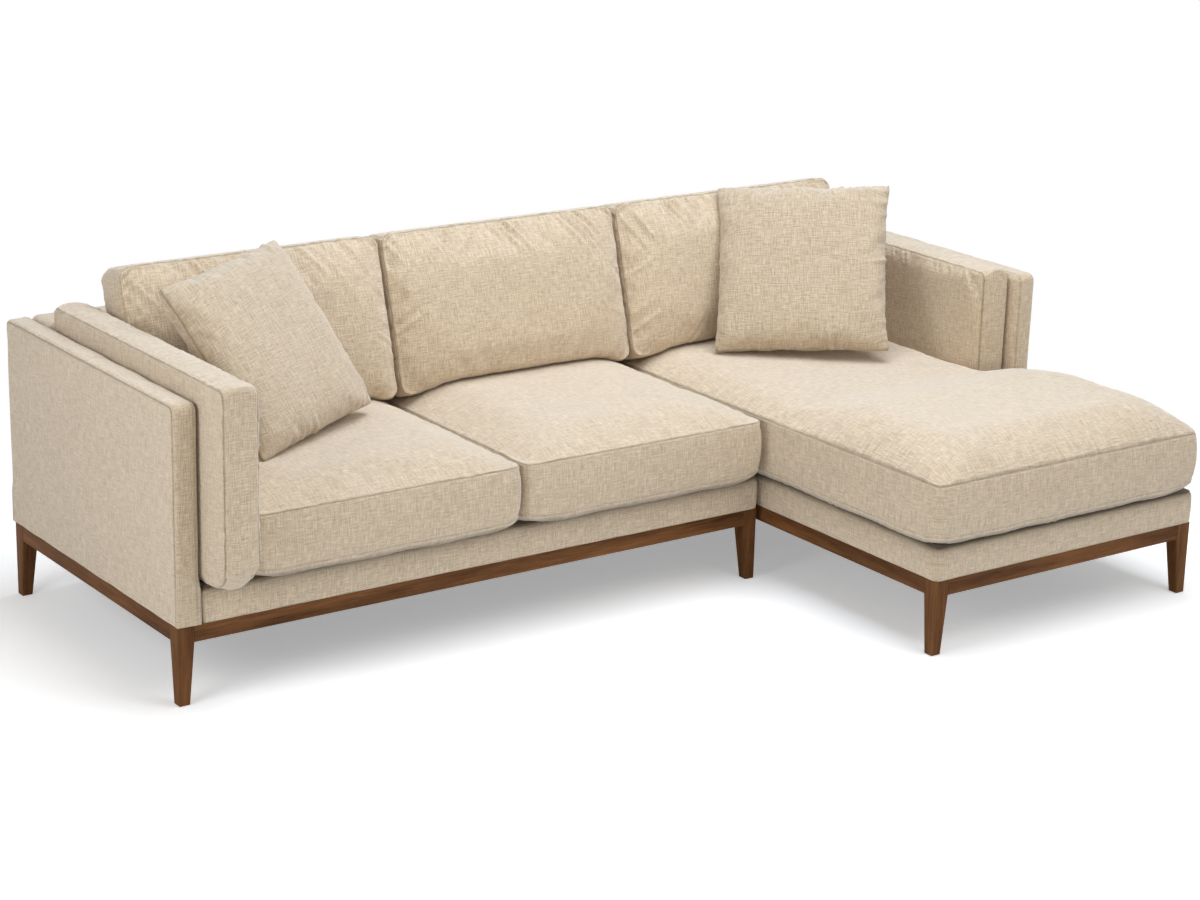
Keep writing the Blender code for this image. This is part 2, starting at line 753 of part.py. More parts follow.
def chaise_cushion():
    """L-shaped: the front part widens in front of the right arm."""
    x_low = LEFT_X + CHAISE_CUSHION_START
    x_high = RIGHT_X - CHAISE_NOTCH_GAP
    y_low = CHAISE_FRONT_Y - CHAISE_CUSHION_LEAD
    y_high = BACK_FACE_Y - CUSHION_GAP
    notch_x = PAD_RIGHT_X - SEAT_GAP - x_low
    notch_y = CHAISE_ARM_FRONT_Y - CHAISE_NOTCH_GAP - y_low
    width = x_high - x_low
    depth = y_high - y_low
    xs = cage_lines(notch_x, CROWN_RAMP) + [width - EDGE_CELL, width]
    ys = cage_lines(notch_y, CROWN_RAMP) + [depth - CROWN_RAMP, depth - EDGE_CELL, depth]
    cage = cushion_cage(
        xs,
        ys,
        CHAISE_SEAM,
        CHAISE_THICK - CHAISE_SEAM,
        0.0,
        CROWN_RAMP,
        (0.12, 0.55),
        SIDE_DRAW / 2,
        SIDE_BULGE,
        (notch_x, notch_y),
    )
    for vert in cage.verts:
        x, y, z = vert.co
        if z > CHAISE_SEAM:
            forward = min(max((notch_y + CHAISE_RISE_LENGTH / 2 - y) / CHAISE_RISE_LENGTH, 0.0), 1.0)
            sides = ramp(x, CHAISE_FRONT_RAMP) * ramp(width - x, CHAISE_FRONT_RAMP) * ramp(y, CHAISE_FRONT_RAMP)
            vert.co.z += CHAISE_FRONT_RISE * forward * sides
    thing = soft_object("chaise_cushion", cage, linen, (width, depth, CHAISE_THICK + CHAISE_FRONT_RISE))
    thing.location = (x_low, y_low, CUSHION_Z)
    return thing


def flatten_below(thing, height):
    """Cuts the form flat where it bears on what is under it, at a world height."""
    bpy.context.view_layer.update()
    place_in_world = thing.matrix_world.copy()
    bm = bmesh.new()
    bm.from_mesh(thing.data)
    bmesh.ops.transform(bm, matrix=place_in_world, verts=bm.verts)
    geometry = bm.verts[:] + bm.edges[:] + bm.faces[:]
    bmesh.ops.bisect_plane(bm, geom=geometry, plane_co=(0, 0, height), plane_no=(0, 0, -1), clear_outer=True)
    rim = [e for e in bm.edges if e.is_boundary]
    bmesh.ops.holes_fill(bm, edges=rim, sides=0)
    bmesh.ops.triangulate(bm, faces=[f for f in bm.faces if len(f.verts) > 4])
    bmesh.ops.transform(bm, matrix=place_in_world.inverted(), verts=bm.verts)
    bm.to_mesh(thing.data)
    bm.free()


def arm_pad(name, x_low, y_low, height, crown_left, crown_right):
    """A boxed slab on edge between the arm and the seat, cut flat on the deck."""
    length = BACK_FACE_Y - CUSHION_GAP - y_low
    tall = height + PAD_BEARING_CUT
    cage = cushion_cage(
        cage_lines(length, PAD_RAMP),
        cage_lines(tall, PAD_RAMP),
        PAD_THICK - PAD_CROWN_INSIDE - PAD_CROWN_OUTSIDE,
        crown_right,
        crown_left,
        PAD_RAMP,
        (0.5,),
        SIDE_DRAW / 2,
        SIDE_BULGE,
    )
    thing = soft_object(name, cage, linen, (length, tall, PAD_THICK))
    stand_up = Matrix(((0, 0, 1, 0), (1, 0, 0, 0), (0, 1, 0, 0), (0, 0, 0, 1)))
    thing.data.transform(stand_up)
    thing.location = (x_low, y_low, CUSHION_Z - PAD_BEARING_CUT)
    flatten_below(thing, CUSHION_Z)
    return thing


# What leans or rests on a curved neighbour is moved until it is a small gap away from it

def world_shape(thing):
    """Probe points along all its edges, and a tree of its faces, both in world space."""
    bpy.context.view_layer.update()
    points = [thing.matrix_world @ v.co for v in thing.data.vertices]
    faces = [tuple(p.vertices) for p in thing.data.polygons]
    probes = list(points)
    for edge in thing.data.edges:
        start, end = (points[i] for i in edge.vertices)
        steps = int((end - start).length / PROBE_STEP)
        probes += [start.lerp(end, i / (steps + 1)) for i in range(1, steps + 1)]
    return probes, BVHTree.FromPolygons(points, faces)


def bring_up_to(mover, target, direction, gap):
    direction = Vector(direction).normalized()
    mover_probes, mover_tree = world_shape(mover)
    target_probes, target_tree = world_shape(target)
    hits = [target_tree.ray_cast(p, direction)[3] for p in mover_probes]
    hits += [mover_tree.ray_cast(p, -direction)[3] for p in target_probes]
    free = min(h for h in hits if h is not None)
    mover.location += direction * (free - gap)
    bpy.context.view_layer.update()


def settle(thing, seat, seat_gap, support):
    """Lowers it to the seat and pushes it against what is behind it, in turns until both hold."""
    for _ in range(SETTLING_ROUNDS):
        thing.location.z += APPROACH
        bring_up_to(thing, seat, (0, 0, -1), seat_gap)
        thing.location.y -= APPROACH
        bring_up_to(thing, support, (0, 1, 0), SOFT_GAP)


def back_cushion(name, x_low, x_high, seat, seat_top, panel):
    """Boxed and crowned both ways, leaning on the back panel and cut flat where it bears on the seat."""
    width = x_high - x_low
    cage = cushion_cage(
        cage_lines(width, BACK_CUSHION_RAMP),
        cage_lines(BACK_CUSHION_HEIGHT, BACK_CUSHION_RAMP),
        BACK_CUSHION_BOXING,
        BACK_CUSHION_CROWN,
        BACK_CUSHION_CROWN,
        BACK_CUSHION_RAMP,
        (0.5,),
        SIDE_DRAW,
        SIDE_BULGE,
    )
    thing = soft_object(name, cage, linen, (width, BACK_CUSHION_HEIGHT, None))
    thing.data.transform(Matrix.Rotation(math.radians(90), 4, "X"))
    thing.rotation_euler = (-math.radians(BACK_CUSHION_LEAN), 0, 0)
    thing.location = (x_low, BACK_FACE_Y - APPROACH, seat_top - BACK_BEARING_CUT)
    bring_up_to(thing, panel, (0, 1, 0), SOFT_GAP)
    flatten_below(thing, seat_top + SOFT_GAP)
    settle(thing, seat, SOFT_GAP, panel)
    return thing


def pillow_cage():
    """Two crowned squares sewn edge to edge, with concave sides and pointed corners."""
    lines = cage_lines(PILLOW_SIDE, PILLOW_SIDE / 3)
    bm = cushion_cage(lines, lines, PILLOW_RIM, 0.0, 0.0, 1.0, (0.5,), 0.0, 0.0)
    for vert in bm.verts:
        u = 2 * vert.co.x / PILLOW_SIDE - 1
        v = 2 * vert.co.y / PILLOW_SIDE - 1
        swell = (max(1 - u * u, 0.0) * max(1 - v * v, 0.0)) ** PILLOW_FULLNESS
        side = vert.co.z - PILLOW_RIM / 2
        if abs(side) > PILLOW_RIM / 4:
            vert.co.z += math.copysign(PILLOW_CROWN * swell, side)
        vert.co.x -= PILLOW_DRAW * u * (1 - v * v)
        vert.co.y -= PILLOW_DRAW * v * (1 - u * u)
    return bm


def pillow(name, turn, lean, roll):
    """Its own origin is at its middle, its front faces -Y, and it leans back."""
    thing = soft_object(name, pillow_cage(), linen, (PILLOW_SIDE, PILLOW_SIDE, None))
    middle = sum((v.co for v in thing.data.vertices), Vector()) / len(thing.data.vertices)
    thing.data.transform(Matrix.Rotation(math.radians(90), 4, "X") @ Matrix.Translation(-middle))
    thing.rotation_mode = "YXZ"
    thing.rotation_euler = (-math.radians(lean), -math.radians(roll), math.radians(turn))
    return thing


def soft_goods():
    pads_start = PAD_LEFT_X + PAD_THICK + SEAT_GAP
    run_end = LEFT_X + SEAT_RUN_END
    seat_width = (run_end - pads_start - SEAT_GAP) / 2
    seat_left = seat_cushion("seat_cushion_left", pads_start, pads_start + seat_width)
    seat_right = seat_cushion("seat_cushion_right", run_end - seat_width, run_end)
    chaise = chaise_cushion()
    left_front = MAIN_FRONT_Y - PAD_LEFT_LEAD
    right_front = CHAISE_ARM_FRONT_Y + PAD_RIGHT_SETBACK
    arm_pad("arm_pad_left", PAD_LEFT_X, left_front, PAD_LEFT_HEIGHT, PAD_CROWN_OUTSIDE, PAD_CROWN_INSIDE)
    arm_pad("arm_pad_right", PAD_RIGHT_X, right_front, PAD_RIGHT_HEIGHT, PAD_CROWN_INSIDE, PAD_CROWN_OUTSIDE)

    back_end = LEFT_X + BACK_RUN_END
    back_width = (back_end - pads_start - BACK_CUSHION_GAP) / 2
    seat_top = CUSHION_Z + SEAT_THICK
    chaise_top = CUSHION_Z + CHAISE_THICK
    main_panel = bpy.data.objects["back_panel_main"]
    chaise_panel = bpy.data.objects["back_panel_chaise"]
    back_left = back_cushion(
        "back_cushion_left", pads_start, pads_start + back_width, seat_left, seat_top, main_panel
    )
    back_cushion("back_cushion_middle", back_end - back_width, back_end, seat_right, seat_top, main_panel)
    back_right = back_cushion(
        "back_cushion_right",
        back_end + BACK_CUSHION_GAP,
        PAD_RIGHT_X - SEAT_GAP,
        chaise,
        chaise_top,
        chaise_panel,
    )

    left = pillow("pillow_left", PILLOW_LEFT_TURN, PILLOW_LEFT_LEAN, PILLOW_LEFT_ROLL)
    left.location = (PAD_LEFT_X + PAD_THICK + PILLOW_LEFT_FROM_PAD, MAIN_FRONT_Y + PILLOW_SIDE, ARM_HEIGHT)
    settle(left, seat_left, PILLOW_SEAT_GAP, back_left)
    right = pillow("pillow_right", PILLOW_RIGHT_TURN, PILLOW_RIGHT_LEAN, PILLOW_RIGHT_ROLL)
    right.location = (PAD_RIGHT_X - PILLOW_RIGHT_FROM_PAD, MAIN_FRONT_Y + PILLOW_SIDE, ARM_HEIGHT)
    settle(right, chaise, PILLOW_SEAT_GAP, back_right)


leg_data = finished_leg()
block_data = block_curve()
plinth("main", LEFT_X, MAIN_RIGHT_X, MAIN_FRONT_Y, BACK_Y, leg_data, block_data)
plinth("chaise", CHAISE_LEFT_X, RIGHT_X, CHAISE_FRONT_Y, BACK_Y, leg_data, block_data)
main_seat_frame()
chaise_seat_frame()
panels()
connectors()
soft_goods()
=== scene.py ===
import math

import bmesh
import bpy
import numpy as np
from mathutils import Matrix, Vector
from mathutils.bvhtree import BVHTree


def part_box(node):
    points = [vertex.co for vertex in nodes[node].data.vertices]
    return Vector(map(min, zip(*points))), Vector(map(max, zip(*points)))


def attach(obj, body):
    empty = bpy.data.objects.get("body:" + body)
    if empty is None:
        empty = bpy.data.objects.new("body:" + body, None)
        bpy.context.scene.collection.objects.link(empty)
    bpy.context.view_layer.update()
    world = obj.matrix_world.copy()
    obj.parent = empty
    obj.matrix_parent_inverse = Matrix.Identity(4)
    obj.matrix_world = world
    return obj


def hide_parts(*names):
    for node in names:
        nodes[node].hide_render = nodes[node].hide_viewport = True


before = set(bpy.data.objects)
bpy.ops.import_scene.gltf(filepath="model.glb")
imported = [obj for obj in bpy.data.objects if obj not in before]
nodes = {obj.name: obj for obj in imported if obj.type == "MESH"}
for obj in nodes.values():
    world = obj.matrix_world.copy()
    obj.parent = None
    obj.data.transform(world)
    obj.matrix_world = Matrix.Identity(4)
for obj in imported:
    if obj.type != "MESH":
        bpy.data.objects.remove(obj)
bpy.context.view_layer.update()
scene = bpy.context.scene


# Shader helpers

def setInputs(node, values):
    for label, value in values.items():
        node.inputs[label].default_value = value


def shader(name, color, roughness, metallic=0.0):
    material = bpy.data.materials.new(name)
    material.use_nodes = True
    tree = material.node_tree
    skin = tree.nodes["Principled BSDF"]
    setInputs(skin, {"Base Color": (*color, 1.0), "Roughness": roughness, "Metallic": metallic})
    material.diffuse_color = (*color, 1.0)
    return material, tree, skin


def addNode(tree, kind, values=None, **settings):
    # values: what its inputs hold; settings: the node's own options
    made = tree.nodes.new("ShaderNode" + kind)
    for key, value in settings.items():
        setattr(made, key, value)
    setInputs(made, values or {})
    return made


def plug(tree, source, socket):
    if isinstance(source, (int, float)):
        socket.default_value = source
    else:
        tree.links.new(source, socket)


def calc(tree, operation, first, second=0.0, third=0.0):
    made = addNode(tree, "Math", operation=operation)
    for source, socket in zip((first, second, third), made.inputs):
        plug(tree, source, socket)
    return made.outputs[0]


def mixColor(tree, factor, first, second):
    made = addNode(tree, "Mix", data_type="RGBA")
    plug(tree, factor, made.inputs["Factor"])
    for source, socket in ((first, made.inputs[6]), (second, made.inputs[7])):
        if isinstance(source, tuple):
            socket.default_value = (*source, 1.0)
        else:
            tree.links.new(source, socket)
    return made.outputs[2]


def stretchedNoise(tree, vector, scale, detail=2.0, roughness=0.6):
    mapping = addNode(tree, "Mapping", {"Scale": scale})
    tree.links.new(vector, mapping.inputs["Vector"])
    cloud = addNode(tree, "TexNoise", {"Scale": 1.0, "Detail": detail, "Roughness": roughness})
    tree.links.new(mapping.outputs["Vector"], cloud.inputs["Vector"])
    return cloud.outputs[0]


def newGroup(name):
    # a shared pattern, from a place to a shade and a height
    group = bpy.data.node_groups.new(name, "ShaderNodeTree")
    group.interface.new_socket("Vector", in_out="INPUT", socket_type="NodeSocketVector")
    for label in ("Shade", "Height"):
        group.interface.new_socket(label, in_out="OUTPUT", socket_type="NodeSocketFloat")
    inside = group.nodes.new("NodeGroupInput")
    return group, inside.outputs["Vector"], group.nodes.new("NodeGroupOutput")


def useGroup(tree, group, vector):
    made = addNode(tree, "Group", node_tree=group)
    tree.links.new(vector, made.inputs["Vector"])
    return made


def bump(tree, skin, height, strength, distance):
    made = addNode(tree, "Bump", {"Strength": strength, "Distance": distance})
    tree.links.new(height, made.inputs["Height"])
    tree.links.new(made.outputs["Normal"], skin.inputs["Normal"])


def objectPlace(tree):
    return addNode(tree, "TexCoord").outputs["Object"]


# Linen: crossed threads of uneven width, in metres on the piece's own UV map

weave = {
    "threads": (500.0, 40.0),
    "slubs": (320.0, 14.0),
    "bands": (80.0, 7.0),
    "mottle": (9.0, 9.0),
    "contrast": {"threads": 2.1, "slubs": 1.15, "bands": 0.12, "mottle": 0.22},
    "slubHeight": 1.4,
}


def weaveGroup():
    group, vector, outside = newGroup("linenWeave")
    sums = {}
    for label, detail in (("threads", 2.0), ("slubs", 2.0), ("bands", 1.0)):
        across, along = weave[label]
        warp = stretchedNoise(group, vector, (across, along, 1.0), detail)
        weft = stretchedNoise(group, vector, (along, across, 1.0), detail)
        both = calc(group, "ADD", warp, weft)
        sums[label] = calc(group, "SUBTRACT", both, 1.0)
    mottle = stretchedNoise(group, vector, (*weave["mottle"], 1.0), 3.0)
    sums["mottle"] = calc(group, "SUBTRACT", mottle, 0.5)
    shade = 0.5
    for label, contrast in weave["contrast"].items():
        shade = calc(group, "MULTIPLY_ADD", sums[label], contrast, shade)
    height = calc(group, "MULTIPLY_ADD", sums["slubs"], weave["slubHeight"], sums["threads"])
    group.links.new(shade, outside.inputs["Shade"])
    group.links.new(height, outside.inputs["Height"])
    return group


linen = {
    "dark": (0.505, 0.393, 0.266),
    "pale": (0.785, 0.652, 0.484),
    "roughness": 0.88,
    "sheen": 0.15,
    "specular": 0.25,
    # painted shade: the dark colour mixed in along the seams and in crevices
    "seam": (0.11, 0.078, 0.045),
    "paintedShadeWeight": 0.55,
    # painted sheen: a paler colour where the cover is seen at a glancing angle
    "paintedSheen": (0.88, 0.83, 0.76),
    "paintedSheenWeight": 0.42,
    "paintedSheenPower": 2.0,
    "bumpStrength": 0.85,
    "bumpDistance": 0.0011,
    # painted shade: the scatter cushions get a darker copy of the linen
    "scatterShadeShare": 0.87,
}


def linenMaterial(name, group, share):
    # share: how much of the plain linen's lightness the cover has; below 1 it is painted shade, a darker
    # copy of the same linen
    material, tree, skin = shader(name, (0.66, 0.57, 0.45), linen["roughness"])
    uv = addNode(tree, "UVMap", uv_map="weave")
    cloth = useGroup(tree, group, uv.outputs["UV"])
    dark, pale = (tuple(share * part for part in linen[label]) for label in ("dark", "pale"))
    color = mixColor(tree, cloth.outputs["Shade"], dark, pale)
    # painted shade: the mask darkens the colour along the seams and in crevices
    shadeAttribute = addNode(tree, "Attribute", attribute_name="paintedShade")
    shaded = calc(tree, "MULTIPLY", shadeAttribute.outputs["Fac"], linen["paintedShadeWeight"])
    color = mixColor(tree, shaded, color, linen["seam"])
    # painted sheen: the colour turns paler towards glancing angles
    glancing = addNode(tree, "LayerWeight", {"Blend": 0.5})
    sheenShare = calc(tree, "POWER", glancing.outputs["Facing"], linen["paintedSheenPower"])
    sheenShare = calc(tree, "MULTIPLY", sheenShare, linen["paintedSheenWeight"])
    color = mixColor(tree, sheenShare, color, linen["paintedSheen"])
    tree.links.new(color, skin.inputs["Base Color"])
    setInputs(skin, {"Sheen Weight": linen["sheen"], "Sheen Roughness": 0.5})
    setInputs(skin, {"Specular IOR Level": linen["specular"]})
    bump(tree, skin, cloth.outputs["Height"], linen["bumpStrength"], linen["bumpDistance"])
    return material


# Wood: long grain along one axis of the object's space

figure = {
    "broad": (3.0, 26.0, 26.0),
    "fine": (9.0, 190.0, 190.0),
    "pores": (40.0, 900.0, 900.0),
    "contrast": (1.5, 1.1, 0.35),
    "darkening": 0.98,
}


def grainGroup():
    group, vector, outside = newGroup("woodGrain")
    broad = stretchedNoise(group, vector, figure["broad"], 3.0)
    fine = stretchedNoise(group, vector, figure["fine"], 4.0, 0.7)
    pores = stretchedNoise(group, vector, figure["pores"])
    shade = -figure["darkening"]
    for pattern, contrast in zip((broad, fine, pores), figure["contrast"]):
        shade = calc(group, "MULTIPLY_ADD", pattern, contrast, shade)
    group.links.new(shade, outside.inputs["Shade"])
    group.links.new(calc(group, "ADD", pores, fine), outside.inputs["Height"])
    return group


walnut = {
    "dark": (0.051, 0.020, 0.007),
    "pale": (0.247, 0.106, 0.038),
    "roughness": 0.5,
    "specular": 0.08,
    "bumpStrength": 0.25,
    "bumpDistance": 0.0004,
}
pine = {
    "dark": (0.46, 0.30, 0.15),
    "pale": (0.72, 0.55, 0.34),
    "roughness": 0.7,
    "specular": 0.08,
    "bumpStrength": 0.3,
    "bumpDistance": 0.0006,
}


def woodMaterial(name, wood, group, turn):
    material, tree, skin = shader(name, wood["pale"], wood["roughness"])
    mapping = addNode(tree, "Mapping", {"Rotation": [math.radians(a) for a in turn]})
    tree.links.new(objectPlace(tree), mapping.inputs["Vector"])
    grain = useGroup(tree, group, mapping.outputs["Vector"])
    color = mixColor(tree, grain.outputs["Shade"], wood["dark"], wood["pale"])
    tree.links.new(color, skin.inputs["Base Color"])
    setInputs(skin, {"Specular IOR Level": wood["specular"]})
    bump(tree, skin, grain.outputs["Height"], wood["bumpStrength"], wood["bumpDistance"])
    return material


# Hidden cloths and the connectors

def clothMaterial(name, dark, pale, across, roughness):
    material, tree, skin = shader(name, pale, roughness)
    place = objectPlace(tree)
    along = across / 12
    warp = stretchedNoise(tree, place, (across, along, across))
    weft = stretchedNoise(tree, place, (along, across, across))
    shade = calc(tree, "SUBTRACT", calc(tree, "ADD", warp, weft), 0.5)
    tree.links.new(mixColor(tree, shade, dark, pale), skin.inputs["Base Color"])
    bump(tree, skin, shade, 0.4, 0.0006)
    return material


def steelMaterial():
    material, tree, skin = shader("zincSteel", (0.55, 0.55, 0.56), 0.38, 1.0)
    brushed = stretchedNoise(tree, objectPlace(tree), (60.0, 900.0, 900.0))
    roughness = calc(tree, "MULTIPLY_ADD", brushed, 0.3, 0.22)
    tree.links.new(roughness, skin.inputs["Roughness"])
    bump(tree, skin, brushed, 0.1, 0.0002)
    return material


weaving = weaveGroup()
linenSkin = linenMaterial("linen", weaving, 1.0)
scatterShadedSkin = linenMaterial("scatterLinenShaded", weaving, linen["scatterShadeShare"])
grain = grainGroup()
walnutX = woodMaterial("walnutAlongX", walnut, grain, (0, 0, 0))
walnutY = woodMaterial("walnutAlongY", walnut, grain, (0, 0, 90))
walnutZ = woodMaterial("walnutUpright", walnut, grain, (0, 90, 0))
pineX = woodMaterial("pineAlongX", pine, grain, (0, 0, 0))
pineY = woodMaterial("pineAlongY", pine, grain, (0, 0, 90))
webbingSkin = clothMaterial("webbing", (0.02, 0.02, 0.02), (0.09, 0.085, 0.08), 700.0, 0.8)
deckSkin = clothMaterial("deckCloth", (0.36, 0.31, 0.24), (0.60, 0.53, 0.43), 500.0, 0.9)
dustSkin = clothMaterial("dustCloth", (0.015, 0.015, 0.015), (0.06, 0.06, 0.06), 300.0, 0.85)
steelSkin = steelMaterial()
print("materials made")


# Grids: every soft piece starts as a closed box of small cells, whose first shape is kept as "rest"

hair = 1e-4  # what is nearer than this to a line lies on it
remote = 9.0  # stands for: no seam near
unwrap = {"flatness": 0.7, "sideStart": 0.4, "seedShift": 3.1, "slant": 0.37}


def addObject(name, data):
    made = bpy.data.objects.new(name, data)
    scene.collection.objects.link(made)
    return made


def addMesh(name, bm):
    mesh = bpy.data.meshes.new(name)
    bm.to_mesh(mesh)
    bm.free()
    return addObject(name, mesh)


def evenLines(stops, cell):
    lines = [stops[0]]
    for start, end in zip(stops, stops[1:]):
        count = max(round((end - start) / cell), 1)
        lines += [start + (end - start) * i / count for i in range(1, count + 1)]
    return lines


def gridBox(name, xs, ys, zs, seed, cutAway=None):
    bm = bmesh.new()
    bmesh.ops.create_grid(bm, x_segments=len(xs) - 1, y_segments=len(ys) - 1, size=1.0)
    for vert in bm.verts:
        column = round((vert.co.x + 1) / 2 * (len(xs) - 1))
        row = round((vert.co.y + 1) / 2 * (len(ys) - 1))
        vert.co = (xs[column], ys[row], 0.0)
    if cutAway:
        centres = [(f, f.calc_center_median()) for f in bm.faces]
        bmesh.ops.delete(bm, geom=[f for f, c in centres if cutAway(c.x, c.y)], context="FACES")
    raised = bmesh.ops.extrude_face_region(bm, geom=bm.faces[:])
    top = [g for g in raised["geom"] if isinstance(g, bmesh.types.BMVert)]
    bmesh.ops.translate(bm, vec=(0, 0, 1.0), verts=top)
    upright = [e for e in bm.edges if abs(e.verts[0].co.z - e.verts[1].co.z) > 0.5]
    if len(zs) > 2:
        bmesh.ops.subdivide_edges(bm, edges=upright, cuts=len(zs) - 2, use_grid_fill=True)
    for vert in bm.verts:
        vert.co.z = zs[round(vert.co.z * (len(zs) - 1))]
    bmesh.ops.recalc_face_normals(bm, faces=bm.faces)
    rest = bm.verts.layers.float_vector.new("rest")
    for vert in bm.verts:
        vert[rest] = vert.co
    made = addMesh(name, bm)
    layWeave(made, seed * unwrap["seedShift"])
    return made


def layWeave(thing, shift):
    # UV in metres from the rest shape: top and bottom lie flat, the sides are one strip round
    uv = thing.data.uv_layers.new(name="weave")
    rest = points(thing)
    for face in thing.data.polygons:
        flat = abs(face.normal.z) > unwrap["flatness"]
        for loop, index in zip(face.loop_indices, face.vertices):
            x, y, z = rest[index]
            u, v = (x, y) if flat else (x + y, z + unwrap["sideStart"])
            uv.data[loop].uv = (u + shift, v + shift * unwrap["slant"])


def vectorsOf(source, field, count):
    flat = np.empty(count * 3)
    source.foreach_get(field, flat)
    return flat.reshape(-1, 3)


def points(thing, mesh=None):
    mesh = mesh or thing.data
    return vectorsOf(mesh.vertices, "co", len(mesh.vertices))


def setPoints(thing, values):
    thing.data.vertices.foreach_set("co", np.asarray(values, dtype=float).ravel())
    thing.data.update()


def restOf(thing):
    return vectorsOf(thing.data.attributes["rest"].data, "vector", len(thing.data.vertices))


def normalsOf(thing):
    return vectorsOf(thing.data.vertex_normals, "vector", len(thing.data.vertices))


def refine(thing):
    soft = thing.modifiers.new("Subdivision", "SUBSURF")
    soft.levels = 1
    soft.render_levels = 1
    graph = bpy.context.evaluated_depsgraph_get()
    shown = thing.evaluated_get(graph)
    mesh = bpy.data.meshes.new_from_object(shown, preserve_all_data_layers=True, depsgraph=graph)
    old = thing.data
    thing.modifiers.clear()
    thing.data = mesh
    bpy.data.meshes.remove(old)


# Form: crown, drawn-in sides, rounded corners

def rise(distance, reach, power):
    return 1.0 - (1.0 - np.clip(distance / reach, 0.0, 1.0)) ** power


def roll(distance, shape):
    # quarter round beside the seam, then a long soft rise
    share, steep, reach, power = shape
    t = np.clip(distance / steep, 0.0, 1.0)
    return share * np.sqrt(1.0 - (1.0 - t) ** 2) + (1.0 - share) * rise(distance, reach, power)


allCorners = ((0, 0), (1, 0), (1, 1), (0, 1))


def cornersOf(width, depth, which=allCorners):
    # each corner is (x, y, direction of x inwards, direction of y inwards)
    return [(a * width, b * depth, 1 - 2 * a, 1 - 2 * b) for a, b in which]


def drawnBack(a, b):
    # a and b run outwards from a rounded corner's middle; each shrinks as squares there become circles
    near = (a > 0) & (b > 0)
    a = np.where(near, a, 1.0)
    b = np.where(near, b, 1.0)
    pull = np.maximum(a, b) / np.hypot(a, b)
    return np.where(near, a - a * pull, 0.0), np.where(near, b - b * pull, 0.0)


def roundCorners(x, y, corners, radius):
    for cornerX, cornerY, inX, inY in corners:
        moveX, moveY = drawnBack(radius - (x - cornerX) * inX, radius - (y - cornerY) * inY)
        x = x + inX * moveX
        y = y + inY * moveY
    return x, y


def waves(u, v, lengthU, lengthV, seed, count=14):
    # a smooth random field of about unit height: many crossed waves near the given lengths
    spread = np.random.default_rng(seed)
    total = np.zeros_like(u)
    for _ in range(count):
        alongU = 2 * math.pi / (lengthU * spread.uniform(0.7, 1.7)) * spread.choice((-1, 1))
        alongV = 2 * math.pi / lengthV * spread.uniform(-1.0, 1.0)
        total += np.cos(alongU * u + alongV * v + spread.uniform(0, 2 * math.pi))
    return total / math.sqrt(count / 2)


gathering = {
    "patch": (0.16, 0.5),
    "patchMean": 0.55,
    "patchSwing": 0.6,
    "patchLimit": 1.6,
    "swell": 0.55,
    "crease": 0.9,
    "creaseWidth": 0.45,
    "level": 0.35,
    "start": 0.006,
}
seamLine = {
    "mask": 0.0022,
    "lipHeight": 0.35,
    "lipPlace": 2.6,
    "lipWidth": 1.6,
    "endFade": 0.06,
    "faintShift": 0.002,
    "baseShift": 0.0017,
    "contactShade": 1.5,
    "swellLength": 0.16,
}


def gathers(along, away, gather, seed):
    # small folds that start at a seam, run away from it and fade, here more and there less
    width, length, reach, height, slant = gather
    along = along + slant * away
    field = waves(along, away, width, length, seed)
    patches = waves(along, away, *gathering["patch"], seed + 1, 6)
    patches = gathering["patchMean"] + gathering["patchSwing"] * patches
    patches = np.clip(patches, 0.0, gathering["patchLimit"])
    crease = gathering["swell"] * field + gathering["level"]
    crease -= gathering["crease"] * np.exp(-((field / gathering["creaseWidth"]) ** 2))
    fade = np.exp(-away / reach) * (1.0 - np.exp(-away / gathering["start"]))
    return height * crease * patches * fade


def groove(away, depth, width):
    fromLip = (away - seamLine["lipPlace"] * width) / (seamLine["lipWidth"] * width)
    lip = seamLine["lipHeight"] * depth * np.exp(-(fromLip ** 2))
    return lip - depth * np.exp(-((away / width) ** 2))


def fromEdge(rest, edge):
    axis, place, low, high = edge
    along = rest[:, 1 - axis]
    over = np.maximum(np.maximum(low - along, along - high), 0.0)
    return np.hypot(np.abs(rest[:, axis] - place), over), along


def edgeDistances(rest, edges):
    return [fromEdge(rest, edge)[0] for edge in edges]


def allGathers(along, away, gathersHere, seed):
    return sum(gathers(along, away, gather, seed + k) for k, gather in enumerate(gathersHere))


